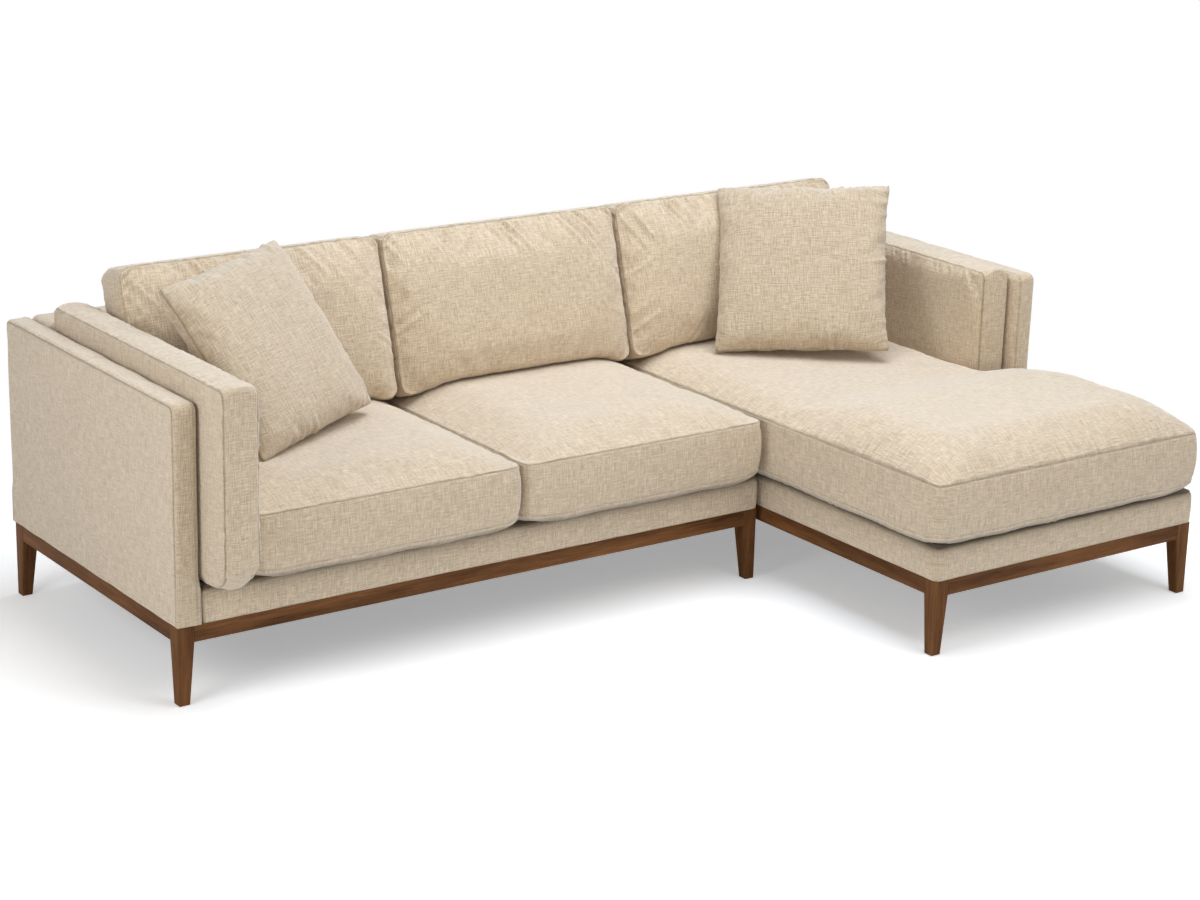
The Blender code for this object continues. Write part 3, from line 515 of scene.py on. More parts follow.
def sew(thing, size, seamHeights, edges, sewing, seed):
    # edges of the plan: (axis, place, low, high) lines that hold the top and base seams
    rest = restOf(thing)
    x, y, z = rest.T
    top = z > size[2] - hair
    base = z < hair
    side = ~(top | base)
    out = np.zeros(len(rest))
    line = np.full(len(rest), remote)
    for faces, level in ((top, size[2]), (base, 0.0)):
        if level not in seamHeights:
            continue
        nearest = np.full(len(rest), remote)
        for index, edge in enumerate(edges):
            away, along = fromEdge(rest, edge)
            shift = seamLine["faintShift"] if index in sewing.get("faint", ()) else 0.0
            nearest = np.minimum(nearest, away + shift)
            folds = allGathers(along, away, sewing["top"], seed + 10 * index)
            toEnd = np.minimum(np.abs(along - edge[2]), np.abs(edge[3] - along))
            strength = sewing["fullness"][index] * rise(toEnd, seamLine["endFade"], 2.0)
            out += np.where(faces, folds * strength, 0.0)
        out += np.where(faces, groove(nearest, sewing["depth"], sewing["width"]), 0.0)
        line = np.where(faces, nearest, line)
    for index, height in enumerate(seamHeights):
        away = np.abs(z - height)
        if "contact" in sewing and index == 1:
            away = away + seamLine["baseShift"]
        folds = allGathers(x + y, away, sewing["side"], seed + 70 + 10 * index)
        out += np.where(side, folds + groove(away, sewing["depth"], sewing["width"]), 0.0)
        line = np.where(side, np.minimum(line, away), line)
    swellLength = seamLine["swellLength"]
    out += sewing["swell"] * waves(x + 0.3 * z, y - 0.4 * z, swellLength, swellLength, seed + 99, 10)
    setPoints(thing, points(thing) + normalsOf(thing) * out[:, None])
    # painted shade along the seam lines and, with a contact height, on the lower lip, darker towards the
    # base
    crevice = 0.0
    if "contact" in sewing:
        crevice = seamLine["contactShade"] * np.clip(1.0 - z / sewing["contact"], 0.0, 1.0)
    paintedShade(thing, line, crevice)


# Cloth: the seams hold their lines, the panels between them are cut a little too large and blown up

simulation = {
    "quality": 5,
    "mass": 0.3,
    "tension_stiffness": 15.0,
    "compression_stiffness": 15.0,
    "shear_stiffness": 5.0,
    "bending_stiffness": 0.6,
    "air_damping": 5.0,
}


def inflate(thing, held, cushion):
    # a seam is held in place, or it is free and drawn in by a share
    start = points(thing)
    group = thing.vertex_groups.new(name="held")
    group.add([int(i) for i in np.nonzero(held)[0]], 1.0, "REPLACE")
    cloth = thing.modifiers.new("Cloth", "CLOTH")
    settings = cloth.settings
    for key, value in simulation.items():
        setattr(settings, key, value)
    settings.use_pressure = True
    settings.uniform_pressure_force = cushion["pressure"]
    settings.effector_weights.gravity = 0.0
    if "drawn" in cushion:
        settings.vertex_group_shrink = "held"
        settings.shrink_max = cushion["drawn"]
    else:
        settings.vertex_group_mass = "held"
    settings.shrink_min = -cushion["ease"]
    cloth.collision_settings.use_collision = False
    cloth.collision_settings.use_self_collision = False
    for span in (scene, cloth.point_cache):
        span.frame_start = 1
        span.frame_end = cushion["frames"]
    for step in range(1, cushion["frames"] + 1):
        scene.frame_set(step)
    graph = bpy.context.evaluated_depsgraph_get()
    ended = points(thing, thing.evaluated_get(graph).data)
    thing.modifiers.clear()
    thing.vertex_groups.clear()
    move = ended - start
    cap = cushion["cap"]
    far = np.linalg.norm(move, axis=1)
    move *= (cap * np.tanh(far / cap) / np.maximum(far, 1e-9))[:, None]
    setPoints(thing, start + move)
    scene.frame_set(1)


def fitBetween(values, low, high):
    start, end = values.min(), values.max()
    return low + (values - start) * (high - low) / (end - start)


closeFit = 0.003


def keepInside(values, low, high, soft=0.005):
    # eases what would pass a limit back inside it
    over = np.maximum(values - (high - soft), 0.0)
    under = np.maximum(low + soft - values, 0.0)
    values = np.where(over > 0, high - soft * np.exp(-over / soft), values)
    return np.where(under > 0, low + soft * np.exp(-under / soft), values)


def paintedShade(thing, away, crevice=0.0):
    # painted shade, a mask for the cover's material: thin along the seams, wide where two covers press
    # together
    mask = thing.data.attributes.new("paintedShade", "FLOAT", "POINT")
    line = np.maximum(np.exp(-((away / seamLine["mask"]) ** 2)), crevice)
    mask.data.foreach_set("value", line.astype(np.float32))


def finishSoft(thing, body, replaced, skin=linenSkin):
    thing.data.materials.clear()
    thing.data.materials.append(skin)
    thing.data.shade_smooth()
    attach(thing, body)
    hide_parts(*replaced)


def blowUpAndSew(thing, held, cushion, size, seamHeights, edges, sewing, seed):
    inflate(thing, held, cushion)
    refine(thing)
    sew(thing, size, seamHeights, edges, sewing, seed)
    return points(thing)


def middleAndHalf(values):
    return (values.max() + values.min()) / 2, (values.max() - values.min()) / 2


def planEdges(width, depth, notch=None):
    if not notch:
        return [(0, 0.0, 0.0, depth), (0, width, 0.0, depth), (1, 0.0, 0.0, width), (1, depth, 0.0, width)]
    notchX, notchY = notch
    return [
        (0, 0.0, 0.0, depth),
        (1, 0.0, 0.0, width),
        (0, width, 0.0, notchY),
        (1, notchY, notchX, width),
        (0, notchX, notchY, depth),
        (1, depth, 0.0, notchX),
    ]


def seamStops(length, middle=()):
    near = [0.0, 0.003, 0.007, 0.014]
    return near + list(middle) + [length - n for n in reversed(near)]


def boxedSlab(name, size, cushion, above, below, seed):
    # two panels with a crown each and a boxing strip between them; share is the way through it
    lines = [evenLines(seamStops(side), cushion["cell"]) for side in size]
    thing = gridBox(name + "_cover", *lines, seed)
    rest = restOf(thing)
    edges = planEdges(*size[:2])
    distances = edgeDistances(rest, edges)
    height = np.prod([roll(distance, cushion["roll"]) for distance in distances], axis=0)
    share = rest[:, 2] / size[2]
    top = share > 1.0 - hair
    base = share < hair
    z = rest[:, 2] + np.where(top, above * height, 0.0) - np.where(base, below * height, 0.0)
    held = (np.min(distances, axis=0) < hair) & (top | base)
    return thing, rest[:, 0], rest[:, 1], z, edges, share, held


# Seat cushions and the L-shaped chaise cushion: foam blocks with a crown inside the top seam

seat = {
    "cell": 0.011,
    "baseSeam": 0.025,
    "topSeam": 0.163,
    "chaiseTopSeam": 0.160,
    "notchCell": 0.005,
    "baseInset": 0.023,
    "crown": 0.051,
    "chaiseCrown": 0.044,
    "frontRise": 0.042,
    "cornerLift": 0.010,
    "cornerReach": 0.045,
    "bulgeFront": 0.007,
    "bulgeLevel": 0.6,
    "bulgeSide": 0.002,
    "corner": 0.030,
    "roll": (0.10, 0.045, 0.26, 2.4),
    "chaiseRoll": (0.24, 0.045, 0.24, 3.0),
    "notchRoll": (0.24, 0.045, 0.055, 3.0),
    "notchFront": 0.45,
    "lobe": (0.016, 0.31),
    "overSide": 0.001,
    "overFront": 0.004,
    "pressure": 2.0,
    "frames": 12,
    "ease": 0.010,
    "cap": 0.006,
    "fill": 0.85,
}
seatSewing = {
    # height of the painted shade on the lower lip, darker towards the base
    "contact": 0.021,
    "depth": 0.0018,
    "width": 0.0019,
    "swell": 0.0006,
    "fullness": (0.8, 0.8, 1.0, 0.8, 0.8, 0.8),
    "top": [(0.028, 0.30, 0.055, 0.0014, 0.2), (0.012, 0.12, 0.018, 0.0005, 0.0)],
    "side": [(0.024, 0.20, 0.040, 0.0009, 0.0), (0.011, 0.10, 0.012, 0.0004, 0.0)],
}


def seatForm(rest, size, notch, crown, frontRise):
    width, depth, topSeam = size
    base = seat["baseSeam"]
    x, y, z = rest.T
    edges = planEdges(width, depth, notch)
    height = np.ones(len(rest))
    for index, distance in enumerate(edgeDistances(rest, edges)):
        shape = "roll" if not notch else "notchRoll" if index in (3, 4) else "chaiseRoll"
        kept = seat["notchFront"] if notch and index == 3 else 0.0
        height *= kept + (1.0 - kept) * roll(distance, seat[shape])
    top = z > topSeam - 1e-6
    if notch:
        start, length = seat["lobe"]
        forward = np.clip((notch[1] + start - y) / length, 0.0, 1.0)
        crown = crown + frontRise * forward * forward * (3 - 2 * forward)
    newZ = np.where(top, z + crown * height, z)
    u = 2 * x / width - 1
    v = 2 * y / depth - 1
    share = np.clip((z - base) / (topSeam - base), 0.0, 1.0)
    belly = 4 * share * (1 - share)
    under = np.clip((base - z) / base, 0.0, 1.0)
    tucked = seat["baseInset"] * (1 - np.sqrt(np.maximum(1 - under ** 2, 0.0)))
    toCorner = np.min([np.hypot(x - a, y - b) for a, b in ((0, 0), (width, 0))], axis=0)
    lifted = seat["cornerLift"] * np.exp(-((toCorner / seat["cornerReach"]) ** 2))
    newZ += lifted * (1 - np.clip(z / topSeam, 0.0, 1.0)) ** 2
    corners = cornersOf(width, depth)
    if notch:
        corners[2:3] = [(width, notch[1], -1, -1), (notch[0], depth, -1, -1)]
    x, y = roundCorners(x, y, corners, seat["corner"])
    x = x + (seat["bulgeSide"] * (belly - 1) - tucked) * u
    y = y + (seat["bulgeFront"] * (belly - seat["bulgeLevel"]) - tucked) * v
    return np.stack([x, y, newZ], axis=1)


def seatCushion(name, seed, crown, notch=None, frontRise=0.0):
    low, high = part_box(name)
    width = high.x - low.x
    depth = high.y - low.y
    topSeam = seat["chaiseTopSeam" if notch else "topSeam"]
    base = seat["baseSeam"]
    lines = []
    for axis, length in enumerate((width, depth)):
        steps = (-seat["notchCell"], 0.0, seat["notchCell"]) if notch else ()
        lines.append(evenLines(seamStops(length, [notch[axis] + step for step in steps]), seat["cell"]))
    aroundBase = [base + step for step in (-0.006, -0.003, 0.0, 0.003, 0.007)]
    belowTop = [topSeam - step for step in (0.014, 0.007, 0.003, 0.0)]
    zs = evenLines([0.0, 0.003, 0.006] + aroundBase + belowTop, seat["cell"])
    cutAway = (lambda x, y: x > notch[0] and y > notch[1]) if notch else None
    thing = gridBox(name + "_cover", *lines, zs, seed, cutAway)
    rest = restOf(thing)
    size = (width, depth, topSeam)
    edges = planEdges(width, depth, notch)
    setPoints(thing, seatForm(rest, size, notch, crown, frontRise))
    nearest = np.min(edgeDistances(rest, edges), axis=0)
    z = rest[:, 2]
    seam = (nearest < hair) & ((z > topSeam - hair) | (np.abs(z - base) < hair))
    held = seam | (z < hair)
    now = blowUpAndSew(thing, held, seat, size, [topSeam, base], edges, seatSewing, seed)
    now += np.array(low)
    side = seat["overSide"]
    now[:, 0] = keepInside(now[:, 0], low.x - side, high.x + side, closeFit)
    now[:, 1] = keepInside(now[:, 1], low.y - seat["overFront"], high.y)
    now[:, 2] = np.maximum(keepInside(now[:, 2], -remote, high.z), low.z)
    setPoints(thing, now)
    finishSoft(thing, name, [name])
    return thing


seatLeft = seatCushion("seat_cushion_left", 1, seat["crown"])
seatRight = seatCushion("seat_cushion_right", 2, seat["crown"])
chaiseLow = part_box("chaise_cushion")[0]
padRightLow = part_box("arm_pad_right")[0]
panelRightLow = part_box("arm_panel_right")[0]
notchClear = (0.005, 0.012)
notchX = padRightLow.x - notchClear[0] - chaiseLow.x
notchY = panelRightLow.y - notchClear[1] - chaiseLow.y
chaise = seatCushion("chaise_cushion", 3, seat["chaiseCrown"], (notchX, notchY), seat["frontRise"])
print("seat cushions made")


# Arm pads: boxed slabs on edge

pad = {
    "cell": 0.010,
    "corner": 0.020,
    "roll": (0.65, 0.032, 0.12, 2.2),
    "crowns": (0.014, 0.004),
    "bulge": 0.009,
    "bulgeLevel": 0.35,
    "over": 0.002,
    "overTop": 0.007,
    "leadRight": 0.018,
    "footRadius": 0.040,
    "footSqueeze": 0.24,
    "footRound": 0.052,
    "footLift": 0.032,
    "footReach": (0.13, 0.16),
    "pressure": 2.0,
    "frames": 12,
    "ease": 0.012,
    "cap": 0.006,
    "fill": 0.75,
}
padSewing = {
    "depth": 0.0018,
    "width": 0.0019,
    "swell": 0.0006,
    "fullness": (0.6, 0.8, 0.6, 1.0),
    "top": [(0.023, 0.25, 0.060, 0.0034, 0.35), (0.012, 0.10, 0.020, 0.0009, 0.2)],
    "side": [(0.022, 0.20, 0.040, 0.0010, 0.0), (0.011, 0.10, 0.014, 0.0004, 0.0)],
}


def armPad(name, seed, insideIsTop):
    low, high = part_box(name)
    lead = 0.0 if insideIsTop else pad["leadRight"]
    length = high.y - low.y + lead
    tall = high.z - low.z
    crownTop, crownBase = pad["crowns"] if insideIsTop else reversed(pad["crowns"])
    thick = high.x - low.x - crownTop - crownBase
    size = (length, tall, thick)
    thing, flatX, flatY, z, edges, share, held = boxedSlab(name, size, pad, crownTop, crownBase, seed)
    u = 2 * flatX / length - 1
    v = 2 * flatY / tall - 1
    out = pad["bulge"] * (4 * share * (1 - share) - pad["bulgeLevel"])
    x, y = roundCorners(flatX, flatY, cornersOf(length, tall, allCorners[1:]), pad["corner"])
    x, y = roundCorners(x, y, cornersOf(length, tall, allCorners[:1]), pad["footRound"])
    x = x + out * u
    y = y + out * v
    reachX, reachY = pad["footReach"]
    front = np.clip(1.0 - flatX / reachX, 0.0, 1.0) ** 2
    y = y + pad["footLift"] * front * np.clip(1.0 - flatY / reachY, 0.0, 1.0)
    toFoot = np.clip(1.0 - flatY / pad["footRadius"], 0.0, 1.0)
    squeezed = 1.0 - pad["footSqueeze"] * (1 - np.sqrt(1 - toFoot ** 2))
    z = thick / 2 + (z - thick / 2) * squeezed
    setPoints(thing, np.stack([x, y, z], axis=1))
    now = blowUpAndSew(thing, held, pad, size, [thick, 0.0], edges, padSewing, seed)
    along, up, across = now.T
    placed = np.stack([
        keepInside(across + low.x + crownBase, low.x, high.x, closeFit),
        keepInside(along + low.y - lead, low.y - lead - pad["over"], high.y),
        keepInside(up + low.z, low.z, high.z + pad["overTop"]),
    ], axis=1)
    setPoints(thing, placed)
    finishSoft(thing, name, [name])
    return thing


padLeft = armPad("arm_pad_left", 4, True)
padRight = armPad("arm_pad_right", 5, False)
print("arm pads made")


# Back cushions: a front and a rear panel with a boxing strip between them, leaning on the back panel

back = {
    "cell": 0.0105,
    "boxing": 0.150,
    "crown": 0.048,
    "crownRear": 0.012,
    "roll": (0.26, 0.050, 0.21, 2.0),
    "corner": 0.030,
    "bulgeTop": 0.006,
    "bulgeSide": 0.003,
    "taper": 0.020,
    "over": 0.0025,
    "overFoot": 0.02,
    "pressure": 2.5,
    "frames": 14,
    "ease": 0.020,
    "cap": 0.010,
    "fill": 0.6,
    "lean": 15.5,
    "tall": 0.434,
    "underside": 0.62,
    "castFrom": 1.2,
    "deck": 0.44,
    "tuck": 0.030,
    "tuckFade": 0.06,
    "ends": 0.7,
    "clear": 0.0015,
}
backSewing = {
    "depth": 0.0018,
    "width": 0.0020,
    "swell": 0.0008,
    "fullness": (0.42, 0.42, 0.5, 1.0),
    "faint": (0, 1),
    "top": [(0.030, 0.40, 0.085, 0.0058, -0.6), (0.013, 0.12, 0.026, 0.0015, -0.4)],
    "side": [(0.024, 0.20, 0.040, 0.0012, 0.0), (0.011, 0.10, 0.014, 0.0004, 0.0)],
}


def turned(values, matrix):
    return values @ np.array(matrix.to_3x3()).T


def boxAlong(name, stand):
    # the CAD piece's box in the axes of a leaning cushion
    found = turned(np.array([v.co for v in nodes[name].data.vertices]), stand.inverted())
    return found.min(axis=0), found.max(axis=0)


def surfaceBelow(thing):
    bm = bmesh.new()
    bm.from_mesh(thing.data)
    tree = BVHTree.FromBMesh(bm)
    bm.free()
    return tree


def backCushion(name, seed, seatThing):
    stand = Matrix.Rotation(math.radians(90 - back["lean"]), 4, "X")
    low, high = boxAlong(name, stand)
    width = high[0] - low[0]
    tall = back["tall"]
    thick = back["boxing"]
    size = (width, tall, thick)
    slab = boxedSlab(name, size, back, back["crown"], back["crownRear"], seed)
    thing, x, y, z, edges, share, held = slab
    u = 2 * x / width - 1
    v = 2 * y / tall - 1
    belly = 4 * share * (1 - share) - 1.0
    x, y = roundCorners(x, y, cornersOf(width, tall), back["corner"])
    x = x + (back["bulgeSide"] * belly - back["taper"] * (1.0 - share)) * u
    y = y + back["bulgeTop"] * belly * v
    setPoints(thing, np.stack([x, y, z], axis=1))
    now = blowUpAndSew(thing, held, back, size, [thick, 0.0], edges, backSewing, seed)
    over = back["over"]
    now[:, 0] = keepInside(now[:, 0] + low[0], low[0] - over, high[0] + over, closeFit)
    now[:, 1] = keepInside(now[:, 1] + high[1] - tall, low[1] - back["overFoot"], high[1])
    now[:, 2] = keepInside(now[:, 2] + high[2] - thick - back["crown"], low[2], high[2])
    setPoints(thing, restOnSeat(turned(now, stand), seatThing))
    finishSoft(thing, name, [name])
    return thing


def restOnSeat(now, seatThing):
    # what would be inside the seat rolls under and lies on it
    tree = surfaceBelow(seatThing)
    middle, half = middleAndHalf(now[:, 0])
    depthMiddle = middleAndHalf(now[:, 1])[0]
    moved = now.copy()
    tuck = back["tuck"]
    ends = back["ends"]  # share of the half width where the ends begin to roll under
    for index, (x, y, z) in enumerate(now):
        if z > back["underside"]:
            continue
        hit = tree.ray_cast(Vector((x, y, back["castFrom"])), Vector((0, 0, -1)))[0]
        floor = (hit.z if hit is not None else back["deck"]) + back["clear"]
        over = z - floor
        if over > tuck:
            continue
        drop = tuck - max(over, 0.0)
        inset = tuck - math.sqrt(max(tuck * tuck - drop * drop, 0.0))
        toMiddle = -1 if y > depthMiddle else 1
        moved[index, 1] += toMiddle * inset * min(abs(y - depthMiddle) / back["tuckFade"], 1.0)
        toEnd = max((abs(x - middle) / half - ends) / (1.0 - ends), 0.0)
        moved[index, 0] += (middle - x) / half * inset * toEnd
        if over < 0:
            moved[index, 2] = floor
    return moved


seats = {"left": seatLeft, "middle": seatRight, "right": chaise}
backs = [backCushion("back_cushion_" + side, 11 + k, seats[side]) for k, side in enumerate(seats)]
print("back cushions made")


# Scatter cushions: two squares sewn edge to edge and blown up

pillow = {
    "cell": 0.0095,
    "rim": 0.006,
    "overCut": 0.026,
    "corner": 0.022,
    "pressure": 4.0,
    "frames": 20,
    "ease": 0.0,
    "drawn": 0.022,
    "cap": 0.20,
    "fill": 0.7,
    "straight": (0.55, 0.80),
    "full": 0.84,
    "quickFullness": 0.5,
}
pillowSewing = {
    "depth": 0.0014,
    "width": 0.0024,
    "swell": 0.0007,
    "fullness": (0.5, 0.9, 1.1, 0.6),
    "top": [(0.027, 0.26, 0.060, 0.0036, 0.25), (0.012, 0.12, 0.022, 0.0009, 0.0)],
    "side": [],
}


def straighten(now, rest, wide, tall, share):
    # a blown-up square draws its sides in: they go part of the way back to straight lines
    moved = now.copy()
    for axis, length in ((0, wide), (1, tall)):
        lines = []
        for onSide in (rest[:, axis] < hair, rest[:, axis] > length - hair):
            along, place = now[onSide, 1 - axis], now[onSide, axis]
            order = np.argsort(along)
            lines.append(np.interp(now[:, 1 - axis], along[order], place[order]))
        value = now[:, axis]
        start, end = value.min(), value.max()
        ideal = start + (value - lines[0]) * (end - start) / (lines[1] - lines[0])
        moved[:, axis] = value + share[axis] * (ideal - value)
    return moved


def scatterCushion(name, seed, turn, lean, tilt):
    stand = Matrix()
    for angle, axis in ((turn, "Z"), (-lean, "X"), (-tilt, "Y"), (90, "X")):
        stand = stand @ Matrix.Rotation(math.radians(angle), 4, axis)
    low, high = boxAlong(name, stand)
    wide, tall = high[:2] - low[:2] + pillow["overCut"]
    rim = pillow["rim"]
    xs, ys = (evenLines(seamStops(side), pillow["cell"]) for side in (wide, tall))
    thing = gridBox(name + "_cover", xs, ys, [0.0, rim / 2, rim], seed)
    rest = restOf(thing)
    x, y, z = rest.T
    x, y = roundCorners(x, y, cornersOf(wide, tall), pillow["corner"])
    setPoints(thing, np.stack([x, y, z], axis=1))
    edges = planEdges(wide, tall)
    seam = np.min(edgeDistances(rest, edges), axis=0) < hair
    size = (wide, tall, rim)
    now = blowUpAndSew(thing, seam, pillow, size, [rim], edges, pillowSewing, seed)
    now = straighten(now, restOf(thing), wide, tall, pillow["straight"])
    middle, half = middleAndHalf(now[:, 2])
    level = (now[:, 2] - middle) / half
    now[:, 2] = np.sign(level) * np.abs(level) ** pillow["full"]
    for axis in range(3):
        now[:, axis] = fitBetween(now[:, axis], low[axis], high[axis])
    setPoints(thing, turned(now, stand))
    finishSoft(thing, name, [name], scatterShadedSkin)


scatterCushion("pillow_left", 21, 24.0, 35.0, 4.5)
scatterCushion("pillow_right", 22, -44.0, 32.0, 4.0)
print("scatter cushions made")


# Tailored covers over the wooden frame: arm and back panels, base bands

tailored = {
    "cell": 0.012,
    "seamRadius": 0.012,
    "softRadius": 0.020,
    "corner": 0.022,
    "swell": 0.0004,
    "swellLength": 0.14,
    "sink": 1.5,
    "footRadius": 0.004,
    "footTop": 0.080,
    "footFade": 0.03,
    "soft": 0.0006,
}
panelSewing = {
    "depth": 0.0012,
    "width": 0.0018,
    "inset": 0.006,
    "otherInset": 0.012,
    "gather": (0.030, 0.30, 0.060, 0.0010, 0.3),
}


def fromOutline(x, y, width, tall, corners, radius):
    # distance to the rounded outline and the direction inwards
    away = np.stack([x, width - x, y, tall - y])
    nearest = away.argmin(axis=0)
    distance = away.min(axis=0)
    inX = np.choose(nearest, [1.0, -1.0, 0.0, 0.0])
    inY = np.choose(nearest, [0.0, 0.0, 1.0, -1.0])
    for cornerX, cornerY, directionX, directionY in corners:
        centreX = cornerX + directionX * radius
        centreY = cornerY + directionY * radius
        a = (centreX - x) * directionX
        b = (centreY - y) * directionY
        near = (a > 0) & (b > 0)
        long = np.maximum(np.hypot(a, b), 1e-9)
        distance = np.where(near, radius - long, distance)
        inX = np.where(near, a / long * directionX, inX)
        inY = np.where(near, b / long * directionY, inY)
    return distance, inX, inY


def filletEdges(x, y, z, size, corners, cornerRadius, radiusLow, radiusHigh):
    x, y = roundCorners(x, y, corners, cornerRadius)
    distance, inX, inY = fromOutline(x, y, size[0], size[1], corners, cornerRadius)
    for radius, fromFace, sign in ((radiusLow, z, 1.0), (radiusHigh, size[2] - z, -1.0)):
        moveIn, moveUp = drawnBack(radius - distance, radius - fromFace)
        x = x + inX * moveIn
        y = y + inY * moveIn
        z = z + sign * moveUp
    return x, y, z


def tailoredSlab(name, body, seed, axes, seamHigh):
    # axes: which world axis each of the grid's x, y and z (through the thickness) lies on
    low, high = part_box(name)
    size = [high[a] - low[a] for a in axes]
    near = [0.0, 0.002, 0.004, 0.006, 0.008, 0.010, 0.014, 0.018]
    lines = [evenLines(near + [length - n for n in reversed(near)], tailored["cell"]) for length in size]
    thing = gridBox(name + "_cover", *lines, seed)
    rest = restOf(thing)
    a, b, c = rest.T
    corners = cornersOf(size[0], size[1], ((0, 1), (1, 1)))
    foot = np.clip((b - tailored["footTop"]) / tailored["footFade"], 0.0, 1.0)
    radii = [tailored["softRadius"], tailored["seamRadius"]]
    if not seamHigh:
        radii.reverse()
    radii = [tailored["footRadius"] + (r - tailored["footRadius"]) * foot for r in radii]
    x, y, z = filletEdges(a, b, c, size, corners, tailored["corner"], *radii)
    setPoints(thing, np.stack([x, y, z], axis=1))
    edges = planEdges(size[0], size[1])
    edges.pop(2)  # no seam along the foot
    distance = np.min(edgeDistances(rest, edges), axis=0)
    fromFace = size[2] - c if seamHigh else c
    onFace = fromFace < hair
    away = np.where(onFace, np.abs(distance - panelSewing["inset"]), fromFace + panelSewing["inset"])
    otherSide = np.abs(size[2] - fromFace - panelSewing["otherInset"])
    away = np.where(~onFace & (distance < hair), np.minimum(away, otherSide), away)
    out = groove(away, panelSewing["depth"], panelSewing["width"])
    out += np.where(onFace, gathers(a, size[1] - b, panelSewing["gather"], seed), 0.0)
    long = tailored["swellLength"]
    out += tailored["swell"] * (waves(a + c, b - c, long, long, seed, 10) - tailored["sink"])
    placed = points(thing) + normalsOf(thing) * out[:, None]
    world = np.empty_like(placed)
    for index, axis in enumerate(axes):
        value = placed[:, index] + low[axis]
        world[:, axis] = keepInside(value, low[axis], high[axis], tailored["soft"])
    setPoints(thing, world)
    # painted shade along the seam lines
    paintedShade(thing, away)
    faceOutwards(thing)
    finishSoft(thing, body, [name])
    return thing


def faceOutwards(thing):
    bm = bmesh.new()
    bm.from_mesh(thing.data)
    bmesh.ops.recalc_face_normals(bm, faces=bm.faces)
    bm.to_mesh(thing.data)
    bm.free()


armLeft = tailoredSlab("arm_panel_left", "main_module", 31, (1, 2, 0), False)
armRight = tailoredSlab("arm_panel_right", "chaise_module", 32, (1, 2, 0), True)
backMain = tailoredSlab("back_panel_main", "main_module", 33, (0, 2, 1), True)
backChaise = tailoredSlab("back_panel_chaise", "chaise_module", 34, (0, 2, 1), True)
print("panels made")


# Base bands: covered rails, one strip round each module's open sides

band = {
    "cell": 0.012,
    "thick": 0.0295,
    "radius": 0.017,
    "foot": 0.004,
    "corner": 0.018,
    "bulge": 0.0025,
    "swell": 0.0006,
    "swellLength": (0.10, 0.2),
    "crevice": 0.013,
    "creviceShade": 1.7,
}


def baseBand(name, body, replaced, seed, corners, rightEnd=None):
    # corners: where the front strip turns; rightEnd: where the right-hand strip stops, if not at the back
    boxes = np.array([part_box(piece) for piece in replaced])
    low = Vector(boxes[:, 0].min(axis=0))
    high = Vector(boxes[:, 1].max(axis=0))
    size = (high.x - low.x, high.y - low.y, high.z - low.z)
    thick = band["thick"]
    left = thick if (0, 0) in corners else -1.0  # outside it: no left-hand strip
    right = size[0] - thick
    stop = size[1] if rightEnd is None else rightEnd - low.y
    near = [0.0, 0.003, 0.006, 0.010, 0.014, 0.018, 0.022]
    lines = []
    for side, cuts in ((size[0], (left, right)), (size[1], (thick, stop))):
        ends = near + [side - n for n in near]
        cuts = [v for v in cuts if 0 < v < side]
        lines.append(evenLines(sorted({round(v, 6) for v in ends + cuts}), band["cell"]))
    belowTop = [size[2] - step for step in (0.018, 0.014, 0.010, 0.006, 0.003, 0.0)]
    heights = evenLines([0.0, 0.002, 0.004] + belowTop, band["cell"])

    def cutAway(x, y):
        return (left < x < right and y > thick) or (x > right and y > stop)

    thing = gridBox(name, *lines, heights, seed, cutAway)
    rest = restOf(thing)
    a, b, c = rest.T
    cornerList = cornersOf(size[0], size[1], corners)
    x, y, z = filletEdges(a, b, c, size, cornerList, band["corner"], band["foot"], band["radius"])
    outside = np.min([a, size[0] - a, b, size[1] - b], axis=0) < hair
    inX, inY = fromOutline(x, y, size[0], size[1], cornerList, band["corner"])[1:]
    share = c / size[2]
    inset = band["bulge"] * (1.0 - 4 * share * (1 - share))
    inset += band["swell"] * (1 + waves(a + b, c, *band["swellLength"], seed, 10))
    inset = np.where(outside, inset, 0.0)
    setPoints(thing, np.stack([x + inX * inset + low.x, y + inY * inset + low.y, z + low.z], axis=1))
    # painted shade under the cushions' overhang: darker towards the band's top
    crevice = band["creviceShade"] * np.exp(-(size[2] - c) / band["crevice"])
    paintedShade(thing, np.full(len(rest), remote), crevice)
    finishSoft(thing, body, replaced)
    return thing


mainPieces = ["main_base_front", "main_base_right"]
mainBand = baseBand("main_base_band", "main_module", mainPieces, 41, [(1, 0)])
chaisePieces = ["chaise_base_front", "chaise_base_left", "chaise_base_right"]
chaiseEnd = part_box("chaise_base_right")[1].y
chaiseBand = baseBand(
    "chaise_base_band", "chaise_module", chaisePieces, 42, [(0, 0), (1, 0)], chaiseEnd
)
print("base bands made")


# Painted shade: covers are darkened in their colour where they press against each other

press = {"reach": 0.008, "strength": 1.3, "power": 0.8, "facing": (0.95, 0.995)}


